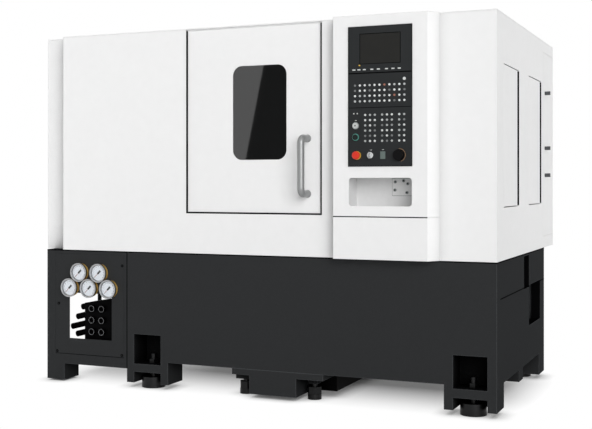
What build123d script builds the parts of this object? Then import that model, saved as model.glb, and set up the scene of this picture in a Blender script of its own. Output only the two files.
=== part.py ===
from build123d import *
import os
from math import cos, radians, sin

os.makedirs("parts", exist_ok=True)

# Overall sizes in millimetres, the floor at zero height
machine_height = 1720.0
cover_width = 2181.0
end_strip_width = 135.0
end_set_back = 60.0
enclosure_depth = 1390.0
base_height = 657.0
cover_sheet = 3.0
roof_sheet = 5.0
running_gap = 0.3
overrun = 5.0

# Reach of the foremost button and of the side knobs, which set the outer box
control_projection = 60.0
panel_flange = 4.0
stop_reach = 24.0
knob_reach = 28.0
front_reach = control_projection + panel_flange + stop_reach
overall_width = cover_width + end_strip_width + knob_reach
overall_depth = enclosure_depth + front_reach

# Main planes of the machine about its centre
right_x = overall_width / 2 - knob_reach
cover_left_x = right_x - cover_width
end_left_x = cover_left_x - end_strip_width
front_y = front_reach - overall_depth / 2
back_y = front_y + enclosure_depth
strip_y = front_y + end_set_back
roof_underside = machine_height - roof_sheet

# Base weldment, its legs and their pockets
base_width = 1808.0
base_depth = 1120.0
base_underside = 130.0
base_wall = 40.0
base_plate = 20.0
leg_width = 228.0
leg_depth = 141.0
leg_bottom = 23.0
leg_cheek = 40.0
leg_back_wall = 18.0
leg_band_bottom = 76.0
leg_band_top = 115.0
leg_pocket_top = 258.0
base_left_x = right_x - base_width
base_back_y = front_y + base_depth

# Openings of the base: chip chute, side opening and side slot
chute_length = 640.0
chute_right_gap = 780.0
chute_width = 330.0
chute_set_back = 80.0
drain_length = 420.0
drain_width = 400.0
drain_set_back = 605.0
side_opening_start = 711.0
side_opening_width = 296.0
side_opening_bottom = 305.0
side_opening_height = 195.0
side_slot_start = 587.0
side_slot_bottom = 490.0
side_slot_top = 645.0
jack_lug_start = 470.0
jack_lug_width = 93.0
jack_lug_reach = 85.0
jack_lug_drop = 55.0

# Levelling feet and jack screws
pad_radius = 57.0
pad_height = 52.0
foot_screw_radius = 14.0
foot_screw_top = 160.0
foot_nut_height = 20.0
foot_nut_radius = 23.0
small_pad_radius = 32.0
jack_set_back = 95.0
jack_screw_radius = 16.0
jack_side_step = 13.0
jack_head_radius = 34.0
jack_head_height = 34.0
jack_foot_radius = 32.0
jack_foot_height = 24.0

# Middle support under the base
support_width = 455.0
support_right_gap = 783.0
support_flange = 28.0
support_depth = 200.0
support_block_width = 236.0
support_block_gap = 131.0
support_bottom = 17.0
jack_block_widths = (76.0, 46.0)
jack_block_height = 30.0

# Coolant tank hung under the base
tank_width = 700.0
tank_right_gap = 766.0
tank_set_back = 565.0
tank_depth = 480.0
tank_bottom = 22.0
tank_wall = 4.0
tank_rim = 18.0

# Hydraulic cabinet at the left of the base
cabinet_width = 468.0
cabinet_depth = 480.0
cabinet_bottom = 88.0
cabinet_sheet = 3.0
cabinet_front_margin = 70.0
cabinet_side_margin = 34.0
cabinet_foot_width = 103.0
cabinet_foot_depth = 122.0
cabinet_foot_bottom = 8.0

# Gauge panel with its window, and the gauges on it
gauge_panel_width = 399.0
gauge_panel_bottom = 140.0
gauge_panel_height = 497.0
gauge_panel_sheet = 2.0
gauge_panel_right_gap = 17.0
gauge_window_width = 246.0
gauge_window_bottom = 218.0
gauge_window_height = 226.0
gauge_window_right_gap = 69.0
gauge_radius = 46.0
gauge_body_radius = 43.0
gauge_depth = 28.0
gauge_bezel_length = 11.0
gauge_bezel_rim = 6.0
gauge_lens_sheet = 2.0
gauge_lens_inset = 1.5
gauge_stem_radius = 9.0
gauge_stem_length = 40.0
gauge_pitch = 112.5
gauge_row_rise = 77.0
gauge_low_row_height = 471.0
gauge_first_gap = 152.0
needle_length = 31.0
needle_tail = 13.0
needle_shoulder = 5.0
needle_half_width = 3.0
needle_tip_half_width = 0.8
needle_sheet = 1.0
needle_hub_radius = 4.0
needle_hub_height = 2.5
needle_zero_angle = 225.0

# Valve block behind the gauge window
valve_block_width = 190.0
valve_block_depth = 90.0
valve_block_top = 425.0
valve_block_set_back = 34.0
valve_block_right_gap = 77.0
valve_block_slant = 33.0
valve_cap_radius = 15.5
valve_cap_reach = 20.0
valve_cap_bore = 9.0
valve_cap_rise = 57.0
valve_cap_spread = 57.0
valve_cap_first_height = 253.0
valve_cap_first_gap = 52.0
valve_knob_radius = 15.0
valve_knob_rise = 43.0
valve_knob_first_height = 247.0
valve_knob_lean = 14.0
valve_knob_reaches = (73.0, 103.0, 71.0, 40.0)
valve_knob_set_back = 38.0

# Front cover and its door opening
door_opening_right_gap = 790.0
door_opening_width = 691.0
sill_rise = 191.0
sill_height = base_height + sill_rise
jamb_flange = 27.0
control_opening_margin = 24.0
control_opening_top_margin = 26.0

# Sliding door
door_gap = 6.0
door_set_back = 8.0
door_depth = 25.0
door_sheet = 2.5
door_travel = 560.0
window_width = 272.0
door_height = machine_height - sill_height
window_share = 0.4989
window_height = door_height * window_share
window_radius = 45.0
window_right_gap = 965.0
window_rise_share = 0.2856
window_bottom = sill_height + door_height * window_rise_share
window_lap = 16.0
window_glass = 6.0
window_clamp = 5.0
handle_right_gap = 861.0
handle_rise_share = 0.1067
handle_bottom = sill_height + door_height * handle_rise_share
handle_length = 250.0
handle_standoff = 78.0
handle_bar_radius = 16.0
handle_bend = 26.0
handle_foot_radius = 17.5
handle_foot_height = 3.0
rail_height = 22.0
rail_depth = 32.0
top_rail_height = 26.0
top_rail_depth = 8.0

# Control housing, its lower cover and its storage pocket
control_right_gap = 283.0
control_width = 429.0
control_cheek = 38.0
control_rise = 186.0
control_bottom = base_height + control_rise
control_seam = 2.0
panel_width = 286.0
panel_right_gap = 352.0
control_height = machine_height - control_bottom
panel_rise_share = 0.252
operator_share = 0.2885
keyboard_share = 0.171
display_share = 0.2292
panel_bottom = control_bottom + control_height * panel_rise_share
operator_height = control_height * operator_share
keyboard_height = control_height * keyboard_share
display_height = control_height * display_share
panel_lap = 10.0
panel_box_depth = 46.0
panel_joint = 1.0
pocket_rise_share = 0.0536
pocket_share = 0.1391
pocket_bottom = control_bottom + control_height * pocket_rise_share
pocket_height = control_height * pocket_share
pocket_radius = 14.0
tray_lap = 7.0
tray_depth = 116.0
tray_sheet = 2.0

# Display, keys and buttons of the control panel
screen_width = 181.0
screen_height_share = 0.6368
screen_height = display_height * screen_height_share
screen_rise_share = 0.204
screen_rise = display_height * screen_rise_share
screen_left_gap = 54.0
screen_recess = 3.0
screen_glass = 2.0
soft_key_width = 13.0
soft_key_height = 5.0
soft_key_rise_share = 0.0746
soft_key_rise = display_height * soft_key_rise_share
soft_key_pitch = 22.5
soft_key_count = 8
key_radius = 5.0
key_sides = 8
key_reach = 2.0
keyboard_columns = 11
keyboard_rows = 4
keyboard_pitch = 22.4
keyboard_row_pitch_share = 0.1533
keyboard_row_pitch = keyboard_height * keyboard_row_pitch_share
keyboard_first_gap = 31.0
keyboard_first_rise_share = 0.1867
keyboard_first_rise = keyboard_height * keyboard_first_rise_share
operator_columns = 8
operator_rows = 6
operator_pitch = 22.0
operator_group_gap = 11.0
operator_row_pitch_share = 0.0893
operator_row_pitch = operator_height * operator_row_pitch_share
operator_first_gap = 78.0
operator_first_rise_share = 0.4269
operator_first_rise = operator_height * operator_first_rise_share
button_left_gap = 35.0
hold_rise_share = 0.6917
hold_rise = operator_height * hold_rise_share
start_rise_share = 0.4941
start_rise = operator_height * start_rise_share
button_radius = 12.0
button_reach = 12.0
button_ring_radius = 15.5
button_ring_reach = 5.0
button_stem_radius = 6.0
button_stem_length = 22.0
button_travel = 4.0
switch_row_rise_share = 0.1818
switch_row_rise = operator_height * switch_row_rise_share
stop_left_gap = 40.0
stop_radius = 17.5
stop_collar_radius = 18.5
stop_collar_reach = 4.0
stop_stem_radius = 9.0
stop_stem_length = 24.0
stop_travel = 6.0
stop_dome = 5.0
key_switch_left_gap = 104.0
key_switch_radius = 14.0
key_switch_reach = 13.0
key_blade_width = 5.0
key_blade_reach = 14.0
port_left_gap = 159.0
port_width = 24.0
port_height = 34.0
port_reach = 3.0
override_left_gap = 231.0
override_radius = 22.0
override_reach = 22.0
override_skirt_radius = 25.0
override_skirt_reach = 5.0

# Service doors of the right side
side_door_width = 290.0
side_door_rise = 231.0
side_door_bottom = base_height + side_door_rise
side_door_drop = 218.0
side_door_height = machine_height - side_door_drop - side_door_bottom
side_door_gap = 4.0
finger_gap = 37.0
finger_channel_depth = 26.0
side_door_front_start = 141.0
side_door_rear_start = 711.0
pivot_inset = 6.0
pivot_depth = 9.0
pivot_radius = 4.0
pivot_boss = 14.0
pivot_boss_height = 20.0
pivot_tab_sheet = 4.0
pivot_tab_margin = 9.0
stiffener_margin = 40.0
cabinet_stiffener_margin = 95.0
stiffener_depth = 12.0

# Electrical cabinet door with its knobs
cabinet_door_start = 1096.0
cabinet_door_width = 272.0
cabinet_door_rise = 63.0
cabinet_door_bottom = base_height + cabinet_door_rise
cabinet_door_drop = 60.0
cabinet_door_height = machine_height - cabinet_door_drop - cabinet_door_bottom
knob_inset = 52.0
knob_radius = 9.5
knob_shaft_radius = 6.0
knob_grip_width = 8.0
knob_base_reach = 12.0
upper_latch_share = 0.782
lower_latch_share = 0.33
main_switch_share = 0.479
upper_latch_height = cabinet_door_bottom + cabinet_door_height * upper_latch_share
lower_latch_height = cabinet_door_bottom + cabinet_door_height * lower_latch_share
main_switch_height = cabinet_door_bottom + cabinet_door_height * main_switch_share
latch_cam_reach = 68.0
latch_cam_width = 16.0
latch_cam_sheet = 4.0
switch_shaft_length = 60.0

# Louvres of the rear and the left end
louvre_length = 260.0
louvre_height = 9.0
louvre_pitch = 26.0
louvre_count = 9
louvre_low_height = 820.0
rear_louvre_gap = 420.0
end_louvre_gap = 640.0

# Slanted bed with its guide ways, measured along and off the slope
bed_angle = 45.0
bed_front = 470.0
bed_nose_rise = 43.0
bed_nose_height = base_height + bed_nose_rise
bed_run = 570.0
bed_back = 1110.0
bed_right_gap = 722.0
bed_length = 1078.0
way_height = 25.0
way_length = 762.0
tail_way_low = 90.0
tail_way_high = 285.0
saddle_way_low = 395.0
saddle_way_high = 690.0
way_width = 52.0
way_skirt = 20.0
skirt_width = 22.0
skirt_gap = 3.0
spindle_along = 226.0
spindle_off = 283.0

# Headstock, spindle and chuck
headstock_length = 300.0
headstock_base_low = 70.0
headstock_base_high = 400.0
headstock_crown = 132.0
spindle_radius = 50.0
spindle_bore = 26.0
spindle_tail = 160.0
spindle_nose_radius = 70.0
spindle_nose_length = 18.0
pulley_radius = 98.0
pulley_length = 52.0
pulley_gap = 8.0
wall_gap = 6.0
chuck_radius = 105.0
chuck_length = 90.0
chuck_bore = 30.0
jaw_width = 34.0
jaw_inner = 36.0
jaw_outer = 98.0
jaw_seat = 18.0
jaw_length = 58.0
jaw_step = 22.0
jaw_step_radius = 66.0
jaw_count = 3

# Saddle, cross slide and tool turret
saddle_length = 215.0
saddle_right_gap = 850.0
saddle_plate = 55.0
cross_slide_length = 205.0
cross_slide_low = 465.0
cross_slide_high = 685.0
cross_slide_plate = 60.0
turret_along = 575.0
turret_crown = 100.0
turret_length = 60.0
turret_radius = 160.0
turret_sides = 8
turret_hub_radius = 70.0
turret_hub_length = 14.0
tool_block_width = 46.0
tool_block_height = 40.0
tool_block_length = 50.0
tool_shank = 18.0
tool_reach = 22.0

# Tailstock and its quill
tailstock_length = 140.0
tailstock_right_gap = 740.0
tailstock_plate = 46.0
tailstock_crown = 62.0
tailstock_waist = 20.0
quill_radius = 30.0
quill_reach = 20.0
quill_inside = 118.0
centre_length = 34.0
centre_tip_radius = 2.0

# Sheet walls of the machining chamber
liner_sheet = 3.0
liner_front_gap = 46.0
liner_top_gap = 6.0
liner_clearance = 4.0


def front_plane(y):
    """Upright plane across the machine at depth y, seen from the front."""
    return Plane.XZ.offset(-y)


def side_plane(x):
    """Upright plane along the depth at x, seen from the right."""
    return Plane.YZ.offset(x)


def level_plane(z):
    """Level plane at height z, seen from above."""
    return Plane.XY.offset(z)


def slope_plane(x):
    """Cross plane at x whose own axes run up the bed's slope and off it."""
    up_slope = (0, cos(radians(bed_angle)), sin(radians(bed_angle)))
    return Plane(origin=(x, front_y + bed_front, bed_nose_height), x_dir=up_slope, z_dir=(1, 0, 0))


def slope_point(along, off):
    """Depth and height of a point given along the slope and off it."""
    run = cos(radians(bed_angle))
    rise = sin(radians(bed_angle))
    return front_y + bed_front + along * run - off * rise, bed_nose_height + along * rise + off * run


def rectangle_between(low_u, high_u, low_v, high_v, mode=Mode.ADD):
    """Rectangle of the sketch in hand, between two corners."""
    with Locations(((low_u + high_u) / 2, (low_v + high_v) / 2)):
        Rectangle(high_u - low_u, high_v - low_v, mode=mode)


def rounded_between(low_u, high_u, low_v, high_v, radius, mode=Mode.ADD):
    """Rounded rectangle of the sketch in hand, between two corners."""
    with Locations(((low_u + high_u) / 2, (low_v + high_v) / 2)):
        RectangleRounded(high_u - low_u, high_v - low_v, radius, mode=mode)


def outline(*points):
    """Closed face of the sketch in hand through the points."""
    Polygon(*points, align=None)


def crowned_outline(low, high, centre, height, crown, floor):
    """Closed face that rises from a straight foot to a round crown."""
    with BuildLine() as boundary:
        Polyline((centre - crown, height), (low, floor), (high, floor), (centre + crown, height))
        ThreePointArc((centre + crown, height), (centre, height + crown), (centre - crown, height))
    make_face(boundary.edges())


def save(part, name):
    """Labels a finished piece and writes it under its name."""
    part.label = name
    export_step(part, f"parts/{name}.step")


# Base weldment on four legs
leg_plans = [
    (x, x + leg_width, y, y + leg_depth)
    for x in (base_left_x, right_x - leg_width)
    for y in (front_y, base_back_y - leg_depth)
]
foot_set_back = (leg_depth - leg_back_wall) / 2
foot_places = [
    ((x0 + x1) / 2, y0 + foot_set_back if y0 == front_y else y1 - foot_set_back)
    for x0, x1, y0, y1 in leg_plans
]
chute_right_x = right_x - chute_right_gap
chute_left_x = chute_right_x - chute_length
drain_middle_x = (chute_left_x + chute_right_x) / 2

with BuildPart() as base_frame:
    with BuildSketch(level_plane(base_underside)):
        rectangle_between(base_left_x, right_x, front_y, base_back_y)
    extrude(amount=base_height - base_underside)
    with BuildSketch(level_plane(leg_bottom)):
        for plan in leg_plans:
            rectangle_between(*plan)
    extrude(amount=base_underside - leg_bottom)
    with BuildSketch(level_plane(base_underside - jack_lug_drop)):
        rectangle_between(
            right_x - jack_lug_reach,
            right_x,
            front_y + jack_lug_start,
            front_y + jack_lug_start + jack_lug_width,
        )
    extrude(amount=jack_lug_drop)
    with BuildSketch(level_plane(base_underside + base_plate)):
        rectangle_between(
            base_left_x + base_wall, right_x - base_wall, front_y + base_wall, base_back_y - base_wall
        )
        for plan in leg_plans:
            rectangle_between(*plan, mode=Mode.SUBTRACT)
    extrude(amount=base_height - base_underside - base_plate * 2, mode=Mode.SUBTRACT)
    with BuildSketch(level_plane(base_height - base_plate - overrun)):
        rectangle_between(
            chute_left_x, chute_right_x, front_y + chute_set_back, front_y + chute_set_back + chute_width
        )
    extrude(amount=base_plate + overrun * 2, mode=Mode.SUBTRACT)
    with BuildSketch(level_plane(base_underside - overrun)):
        rectangle_between(
            drain_middle_x - drain_length / 2,
            drain_middle_x + drain_length / 2,
            front_y + drain_set_back,
            front_y + drain_set_back + drain_width,
        )
    extrude(amount=base_plate + overrun * 2, mode=Mode.SUBTRACT)
    for face_y, inwards in ((front_y, -1), (base_back_y, 1)):
        with BuildSketch(front_plane(face_y)):
            for left in (base_left_x, right_x - leg_width):
                rectangle_between(
                    left + leg_cheek,
                    left + leg_width - leg_cheek,
                    leg_band_top,
                    leg_pocket_top,
                )
                rectangle_between(
                    left + leg_cheek,
                    left + leg_width - leg_cheek,
                    leg_bottom - overrun,
                    leg_band_bottom,
                )
        extrude(amount=inwards * (leg_depth - leg_back_wall), mode=Mode.SUBTRACT)
    with BuildSketch(level_plane(leg_band_bottom)):
        with Locations(*foot_places):
            Circle(foot_screw_radius + running_gap)
    extrude(amount=leg_band_top - leg_band_bottom, mode=Mode.SUBTRACT)
    with BuildSketch(side_plane(right_x)):
        rectangle_between(
            front_y + side_opening_start,
            front_y + side_opening_start + side_opening_width,
            side_opening_bottom,
            side_opening_bottom + side_opening_height,
        )
        rectangle_between(
            front_y + side_slot_start,
            front_y + side_opening_start,
            side_slot_bottom,
            side_slot_top,
        )
    extrude(amount=-(base_wall + overrun), mode=Mode.SUBTRACT)
save(base_frame.part, "base_frame")

# Hydraulic cabinet, a folded sheet box open to the rear and the left
cabinet_left_x = base_left_x - cabinet_width
cabinet_back_y = front_y + cabinet_depth

with BuildPart() as hydraulic_cabinet:
    with BuildSketch(level_plane(cabinet_bottom)):
        rectangle_between(cabinet_left_x, base_left_x, front_y, cabinet_back_y)
    extrude(amount=base_height - cabinet_bottom)
    offset(
        amount=-cabinet_sheet,
        openings=hydraulic_cabinet.faces().sort_by(Axis.Y)[-1],
        kind=Kind.INTERSECTION,
    )
    with BuildSketch(front_plane(front_y)):
        rectangle_between(
            cabinet_left_x + cabinet_front_margin,
            base_left_x - cabinet_front_margin / 2,
            cabinet_bottom + cabinet_front_margin,
            base_height - cabinet_front_margin / 2,
        )
    extrude(amount=-(cabinet_sheet + overrun), mode=Mode.SUBTRACT)
    with BuildSketch(side_plane(cabinet_left_x)):
        rectangle_between(
            front_y + cabinet_side_margin,
            cabinet_back_y - cabinet_side_margin,
            cabinet_bottom + cabinet_side_margin,
            base_height - cabinet_side_margin,
        )
    extrude(amount=cabinet_sheet + overrun, mode=Mode.SUBTRACT)
    with BuildSketch(level_plane(cabinet_foot_bottom)):
        rectangle_between(
            cabinet_left_x, cabinet_left_x + cabinet_foot_width, front_y, front_y + cabinet_foot_depth
        )
    extrude(amount=cabinet_bottom - cabinet_foot_bottom)
save(hydraulic_cabinet.part, "hydraulic_cabinet")

# Gauge panel on the cabinet's front
panel_face_y = front_y - gauge_panel_sheet
gauge_panel_right_x = base_left_x - gauge_panel_right_gap
gauge_panel_left_x = gauge_panel_right_x - gauge_panel_width
gauge_window_right_x = gauge_panel_right_x - gauge_window_right_gap
gauge_first_x = gauge_panel_left_x + gauge_first_gap - gauge_pitch / 2
low_gauges = [(gauge_first_x + gauge_pitch * step, gauge_low_row_height) for step in range(3)]
high_gauges = [(x + gauge_pitch / 2, gauge_low_row_height + gauge_row_rise) for x, z in low_gauges[:2]]
gauge_places = low_gauges + high_gauges

with BuildPart() as gauge_panel:
    with BuildSketch(front_plane(front_y)):
        rectangle_between(
            gauge_panel_left_x,
            gauge_panel_right_x,
            gauge_panel_bottom,
            gauge_panel_bottom + gauge_panel_height,
        )
        rectangle_between(
            gauge_window_right_x - gauge_window_width,
            gauge_window_right_x,
            gauge_window_bottom,
            gauge_window_bottom + gauge_window_height,
            mode=Mode.SUBTRACT,
        )
        with Locations(*gauge_places):
            Circle(gauge_stem_radius + running_gap, mode=Mode.SUBTRACT)
    extrude(amount=gauge_panel_sheet)
save(gauge_panel.part, "gauge_panel")

# Pressure gauges: cases with stems, crimped bezels and lenses
gauge_front_y = panel_face_y - gauge_depth
dial_y = gauge_front_y + gauge_bezel_length

with BuildPart() as gauge_cases:
    with BuildSketch(front_plane(panel_face_y)):
        with Locations(*gauge_places):
            Circle(gauge_body_radius)
    extrude(amount=gauge_depth - gauge_bezel_length)
    with BuildSketch(front_plane(panel_face_y)):
        with Locations(*gauge_places):
            Circle(gauge_stem_radius)
    extrude(amount=-gauge_stem_length)
save(gauge_cases.part, "gauge_cases")

lens_radius = gauge_radius - gauge_bezel_rim
with BuildPart() as gauge_bezels:
    with BuildSketch(front_plane(dial_y)):
        with Locations(*gauge_places):
            Circle(gauge_radius)
            Circle(lens_radius, mode=Mode.SUBTRACT)
    extrude(amount=gauge_bezel_length)
save(gauge_bezels.part, "gauge_bezels")

with BuildPart() as gauge_lenses:
    with BuildSketch(front_plane(gauge_front_y + gauge_lens_inset)):
        with Locations(*gauge_places):
            Circle(lens_radius - running_gap)
    extrude(amount=-gauge_lens_sheet)
save(gauge_lenses.part, "gauge_lenses")


def needle_plane(x, z):
    """Plane on a dial whose first axis points to the scale's zero."""
    pointing = (cos(radians(needle_zero_angle)), 0, sin(radians(needle_zero_angle)))
    return Plane(origin=(x, dial_y, z), x_dir=pointing, z_dir=(0, -1, 0))


for number, (gauge_x, gauge_z) in enumerate(gauge_places, start=1):
    with BuildPart() as gauge_needle:
        with BuildSketch(needle_plane(gauge_x, gauge_z)):
            Circle(needle_hub_radius)
        extrude(amount=needle_hub_height)
        with BuildSketch(needle_plane(gauge_x, gauge_z).offset(needle_hub_height - needle_sheet)):
            outline(
                (-needle_tail, needle_half_width),
                (-needle_tail, -needle_half_width),
                (needle_shoulder, -needle_half_width),
                (needle_shoulder, -needle_tip_half_width),
                (needle_length, -needle_tip_half_width),
                (needle_length, needle_tip_half_width),
                (needle_shoulder, needle_tip_half_width),
                (needle_shoulder, needle_half_width),
            )
        extrude(amount=needle_sheet)
    save(gauge_needle.part, f"gauge_needle_{number}")

# Valve block with its caps and knobs
valve_right_x = base_left_x - valve_block_right_gap
valve_left_x = valve_right_x - valve_block_width
valve_front_y = front_y + valve_block_set_back
valve_floor = cabinet_bottom + cabinet_sheet

with BuildPart() as valve_block:
    with BuildSketch(front_plane(valve_front_y)):
        outline(
            (valve_left_x, valve_floor),
            (valve_right_x, valve_floor),
            (valve_right_x, valve_block_top),
            (valve_left_x, valve_block_top - valve_block_slant),
        )
    extrude(amount=-valve_block_depth)
save(valve_block.part, "valve_block")

cap_first_x = valve_left_x + valve_cap_first_gap
cap_places = [
    (cap_first_x + valve_cap_spread * column, valve_cap_first_height + valve_cap_rise * row)
    for column in range(2)
    for row in range(3)
]
valve_knob_y = valve_front_y + valve_knob_set_back


def knob_plane(row):
    """Plane across the axis of a valve knob, which leans down to the left."""
    lean = radians(valve_knob_lean)
    return Plane(
        origin=(valve_left_x, valve_knob_y, valve_knob_first_height + valve_knob_rise * row),
        x_dir=(0, 1, 0),
        z_dir=(-cos(lean), 0, -sin(lean)),
    )


with BuildPart() as valve_fittings:
    for row, reach in enumerate(valve_knob_reaches):
        with BuildSketch(knob_plane(row).offset(-valve_knob_radius)):
            Circle(valve_knob_radius)
        extrude(amount=reach + valve_knob_radius)
    split(bisect_by=side_plane(valve_left_x), keep=Keep.BOTTOM)
    with BuildSketch(front_plane(valve_front_y)):
        with Locations(*cap_places):
            Circle(valve_cap_radius)
    extrude(amount=valve_cap_reach)
    with BuildSketch(front_plane(valve_front_y - valve_cap_reach)):
        with Locations(*cap_places):
            Circle(valve_cap_bore)
    extrude(amount=-valve_cap_reach / 2, mode=Mode.SUBTRACT)
save(valve_fittings.part, "valve_fittings")

# Middle support and the coolant tank under the base
support_right_x = right_x - support_right_gap
support_left_x = support_right_x - support_width
block_right_x = support_right_x - support_block_gap
block_left_x = block_right_x - support_block_width
flange_bottom = base_underside - support_flange
jack_places = [
    (x - jack_side_step, front_y + jack_set_back)
    for x in ((support_left_x + block_left_x) / 2, (support_right_x + block_right_x) / 2)
]

with BuildPart() as middle_support:
    with BuildSketch(level_plane(flange_bottom)):
        rectangle_between(support_left_x, support_right_x, front_y, front_y + support_depth)
    extrude(amount=support_flange)
    with BuildSketch(front_plane(front_y)):
        rectangle_between(block_left_x, block_right_x, support_bottom, flange_bottom)
    extrude(amount=-support_depth)
    with BuildSketch(level_plane(flange_bottom - jack_block_height)):
        for place, width in zip(jack_places, jack_block_widths):
            with Locations(place):
                Rectangle(width, width)
    extrude(amount=jack_block_height)
    with BuildSketch(level_plane(flange_bottom - jack_block_height)):
        with Locations(*jack_places):
            Circle(jack_screw_radius + running_gap)
    extrude(amount=jack_block_height + support_flange, mode=Mode.SUBTRACT)
save(middle_support.part, "middle_support")

tank_right_x = right_x - tank_right_gap
tank_left_x = tank_right_x - tank_width
tank_front_y = front_y + tank_set_back
tank_plan = (tank_left_x, tank_right_x, tank_front_y, tank_front_y + tank_depth)

with BuildPart() as coolant_tank:
    with BuildSketch(level_plane(tank_bottom)):
        rectangle_between(*tank_plan)
    extrude(amount=base_underside - tank_bottom)
    offset(
        amount=-tank_wall,
        openings=coolant_tank.faces().sort_by(Axis.Z)[-1],
        kind=Kind.INTERSECTION,
    )
    with BuildSketch(level_plane(base_underside - tank_wall)):
        rectangle_between(*tank_plan)
        rectangle_between(
            tank_left_x + tank_rim,
            tank_right_x - tank_rim,
            tank_front_y + tank_rim,
            tank_front_y + tank_depth - tank_rim,
            mode=Mode.SUBTRACT,
        )
    extrude(amount=tank_wall)
save(coolant_tank.part, "coolant_tank")

# Levelling feet under the legs, the small foot and the jack screws
small_foot_place = (cabinet_left_x + cabinet_foot_width / 2, front_y + cabinet_foot_depth / 2)
with BuildPart() as levelling_feet:
    with BuildSketch(level_plane(0)):
        with Locations(*foot_places):
            Circle(pad_radius)
    extrude(amount=pad_height)
    with BuildSketch(level_plane(pad_height)):
        with Locations(*foot_places):
            Circle(foot_screw_radius)
    extrude(amount=foot_screw_top - pad_height)
    with BuildSketch(level_plane(leg_band_top)):
        with Locations(*foot_places):
            RegularPolygon(foot_nut_radius, 6)
    extrude(amount=foot_nut_height)
    with BuildSketch(level_plane(0)):
        with Locations(small_foot_place):
            Circle(small_pad_radius)
    extrude(amount=cabinet_foot_bottom)
    with BuildSketch(level_plane(0)):
        with Locations(*jack_places):
            Circle(jack_foot_radius)
    extrude(amount=jack_foot_height)
    with BuildSketch(level_plane(jack_foot_height)):
        with Locations(*jack_places):
            RegularPolygon(jack_head_radius, 6)
    extrude(amount=jack_head_height)
    with BuildSketch(level_plane(jack_foot_height)):
        with Locations(*jack_places):
            Circle(jack_screw_radius)
    extrude(amount=base_underside - jack_foot_height)
save(levelling_feet.part, "levelling_feet")

# Front cover, one sheet round the door opening
door_right_x = right_x - door_opening_right_gap
door_left_x = door_right_x - door_opening_width
control_right_x = right_x - control_right_gap
control_left_x = control_right_x - control_width
cover_back_y = front_y + cover_sheet
control_y = front_y - control_projection

with BuildPart() as front_cover:
    with BuildSketch(front_plane(front_y)):
        rectangle_between(cover_left_x, right_x, base_height, roof_underside)
        rectangle_between(door_left_x, door_right_x, sill_height, roof_underside, mode=Mode.SUBTRACT)
        rectangle_between(
            control_left_x + control_opening_margin,
            control_right_x - control_opening_margin,
            control_bottom + control_opening_margin,
            roof_underside - control_opening_top_margin,
            mode=Mode.SUBTRACT,
        )
    extrude(amount=-cover_sheet)
    with BuildSketch(level_plane(base_height)):
        rectangle_between(cover_left_x, cover_left_x + cover_sheet, front_y, strip_y)
    extrude(amount=roof_underside - base_height)
    with BuildSketch(level_plane(sill_height)):
        rectangle_between(door_right_x, door_right_x + cover_sheet, front_y, cover_back_y + jamb_flange)
    extrude(amount=roof_underside - sill_height)
save(front_cover.part, "front_cover")


def louvre_places(across, low):
    """Middles of a column of louvres."""
    return [(across, low + louvre_pitch * step) for step in range(louvre_count)]


# Left end cover, folded round the corner
with BuildPart() as left_end_cover:
    with BuildSketch(level_plane(base_height)):
        outline(
            (end_left_x, strip_y),
            (cover_left_x + cover_sheet, strip_y),
            (cover_left_x + cover_sheet, strip_y + cover_sheet),
            (end_left_x + cover_sheet, strip_y + cover_sheet),
            (end_left_x + cover_sheet, back_y),
            (end_left_x, back_y),
        )
    extrude(amount=roof_underside - base_height)
    with BuildSketch(side_plane(end_left_x)):
        with Locations(*louvre_places(front_y + end_louvre_gap, louvre_low_height)):
            Rectangle(louvre_length, louvre_height)
    extrude(amount=cover_sheet + overrun, mode=Mode.SUBTRACT)
save(left_end_cover.part, "left_end_cover")

# Rear cover with two columns of louvres
with BuildPart() as rear_cover:
    with BuildSketch(front_plane(back_y)):
        rectangle_between(end_left_x + cover_sheet, right_x - cover_sheet, base_height, roof_underside)
        for across in (end_left_x + rear_louvre_gap, right_x - rear_louvre_gap):
            with Locations(*louvre_places(across, louvre_low_height)):
                Rectangle(louvre_length, louvre_height, mode=Mode.SUBTRACT)
    extrude(amount=cover_sheet)
save(rear_cover.part, "rear_cover")

# Roof sheet
with BuildPart() as roof_cover:
    with BuildSketch(level_plane(roof_underside)):
        outline(
            (cover_left_x, front_y),
            (right_x, front_y),
            (right_x, back_y),
            (end_left_x, back_y),
            (end_left_x, strip_y),
            (cover_left_x, strip_y),
        )
    extrude(amount=roof_sheet)
save(roof_cover.part, "roof_cover")

# Right side cover with its door openings, finger channels and pivot tabs
side_inner_x = right_x - cover_sheet
pivot_x = right_x - pivot_depth
side_door_top = side_door_bottom + side_door_height
cabinet_door_top = cabinet_door_bottom + cabinet_door_height
service_starts = (front_y + side_door_front_start, front_y + side_door_rear_start)
cabinet_start_y = front_y + cabinet_door_start
cabinet_end_y = cabinet_start_y + cabinet_door_width
pivot_posts = [(start + pivot_inset, side_door_bottom, side_door_top) for start in service_starts]
pivot_posts.append((cabinet_end_y - pivot_inset, cabinet_door_bottom, cabinet_door_top))

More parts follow.
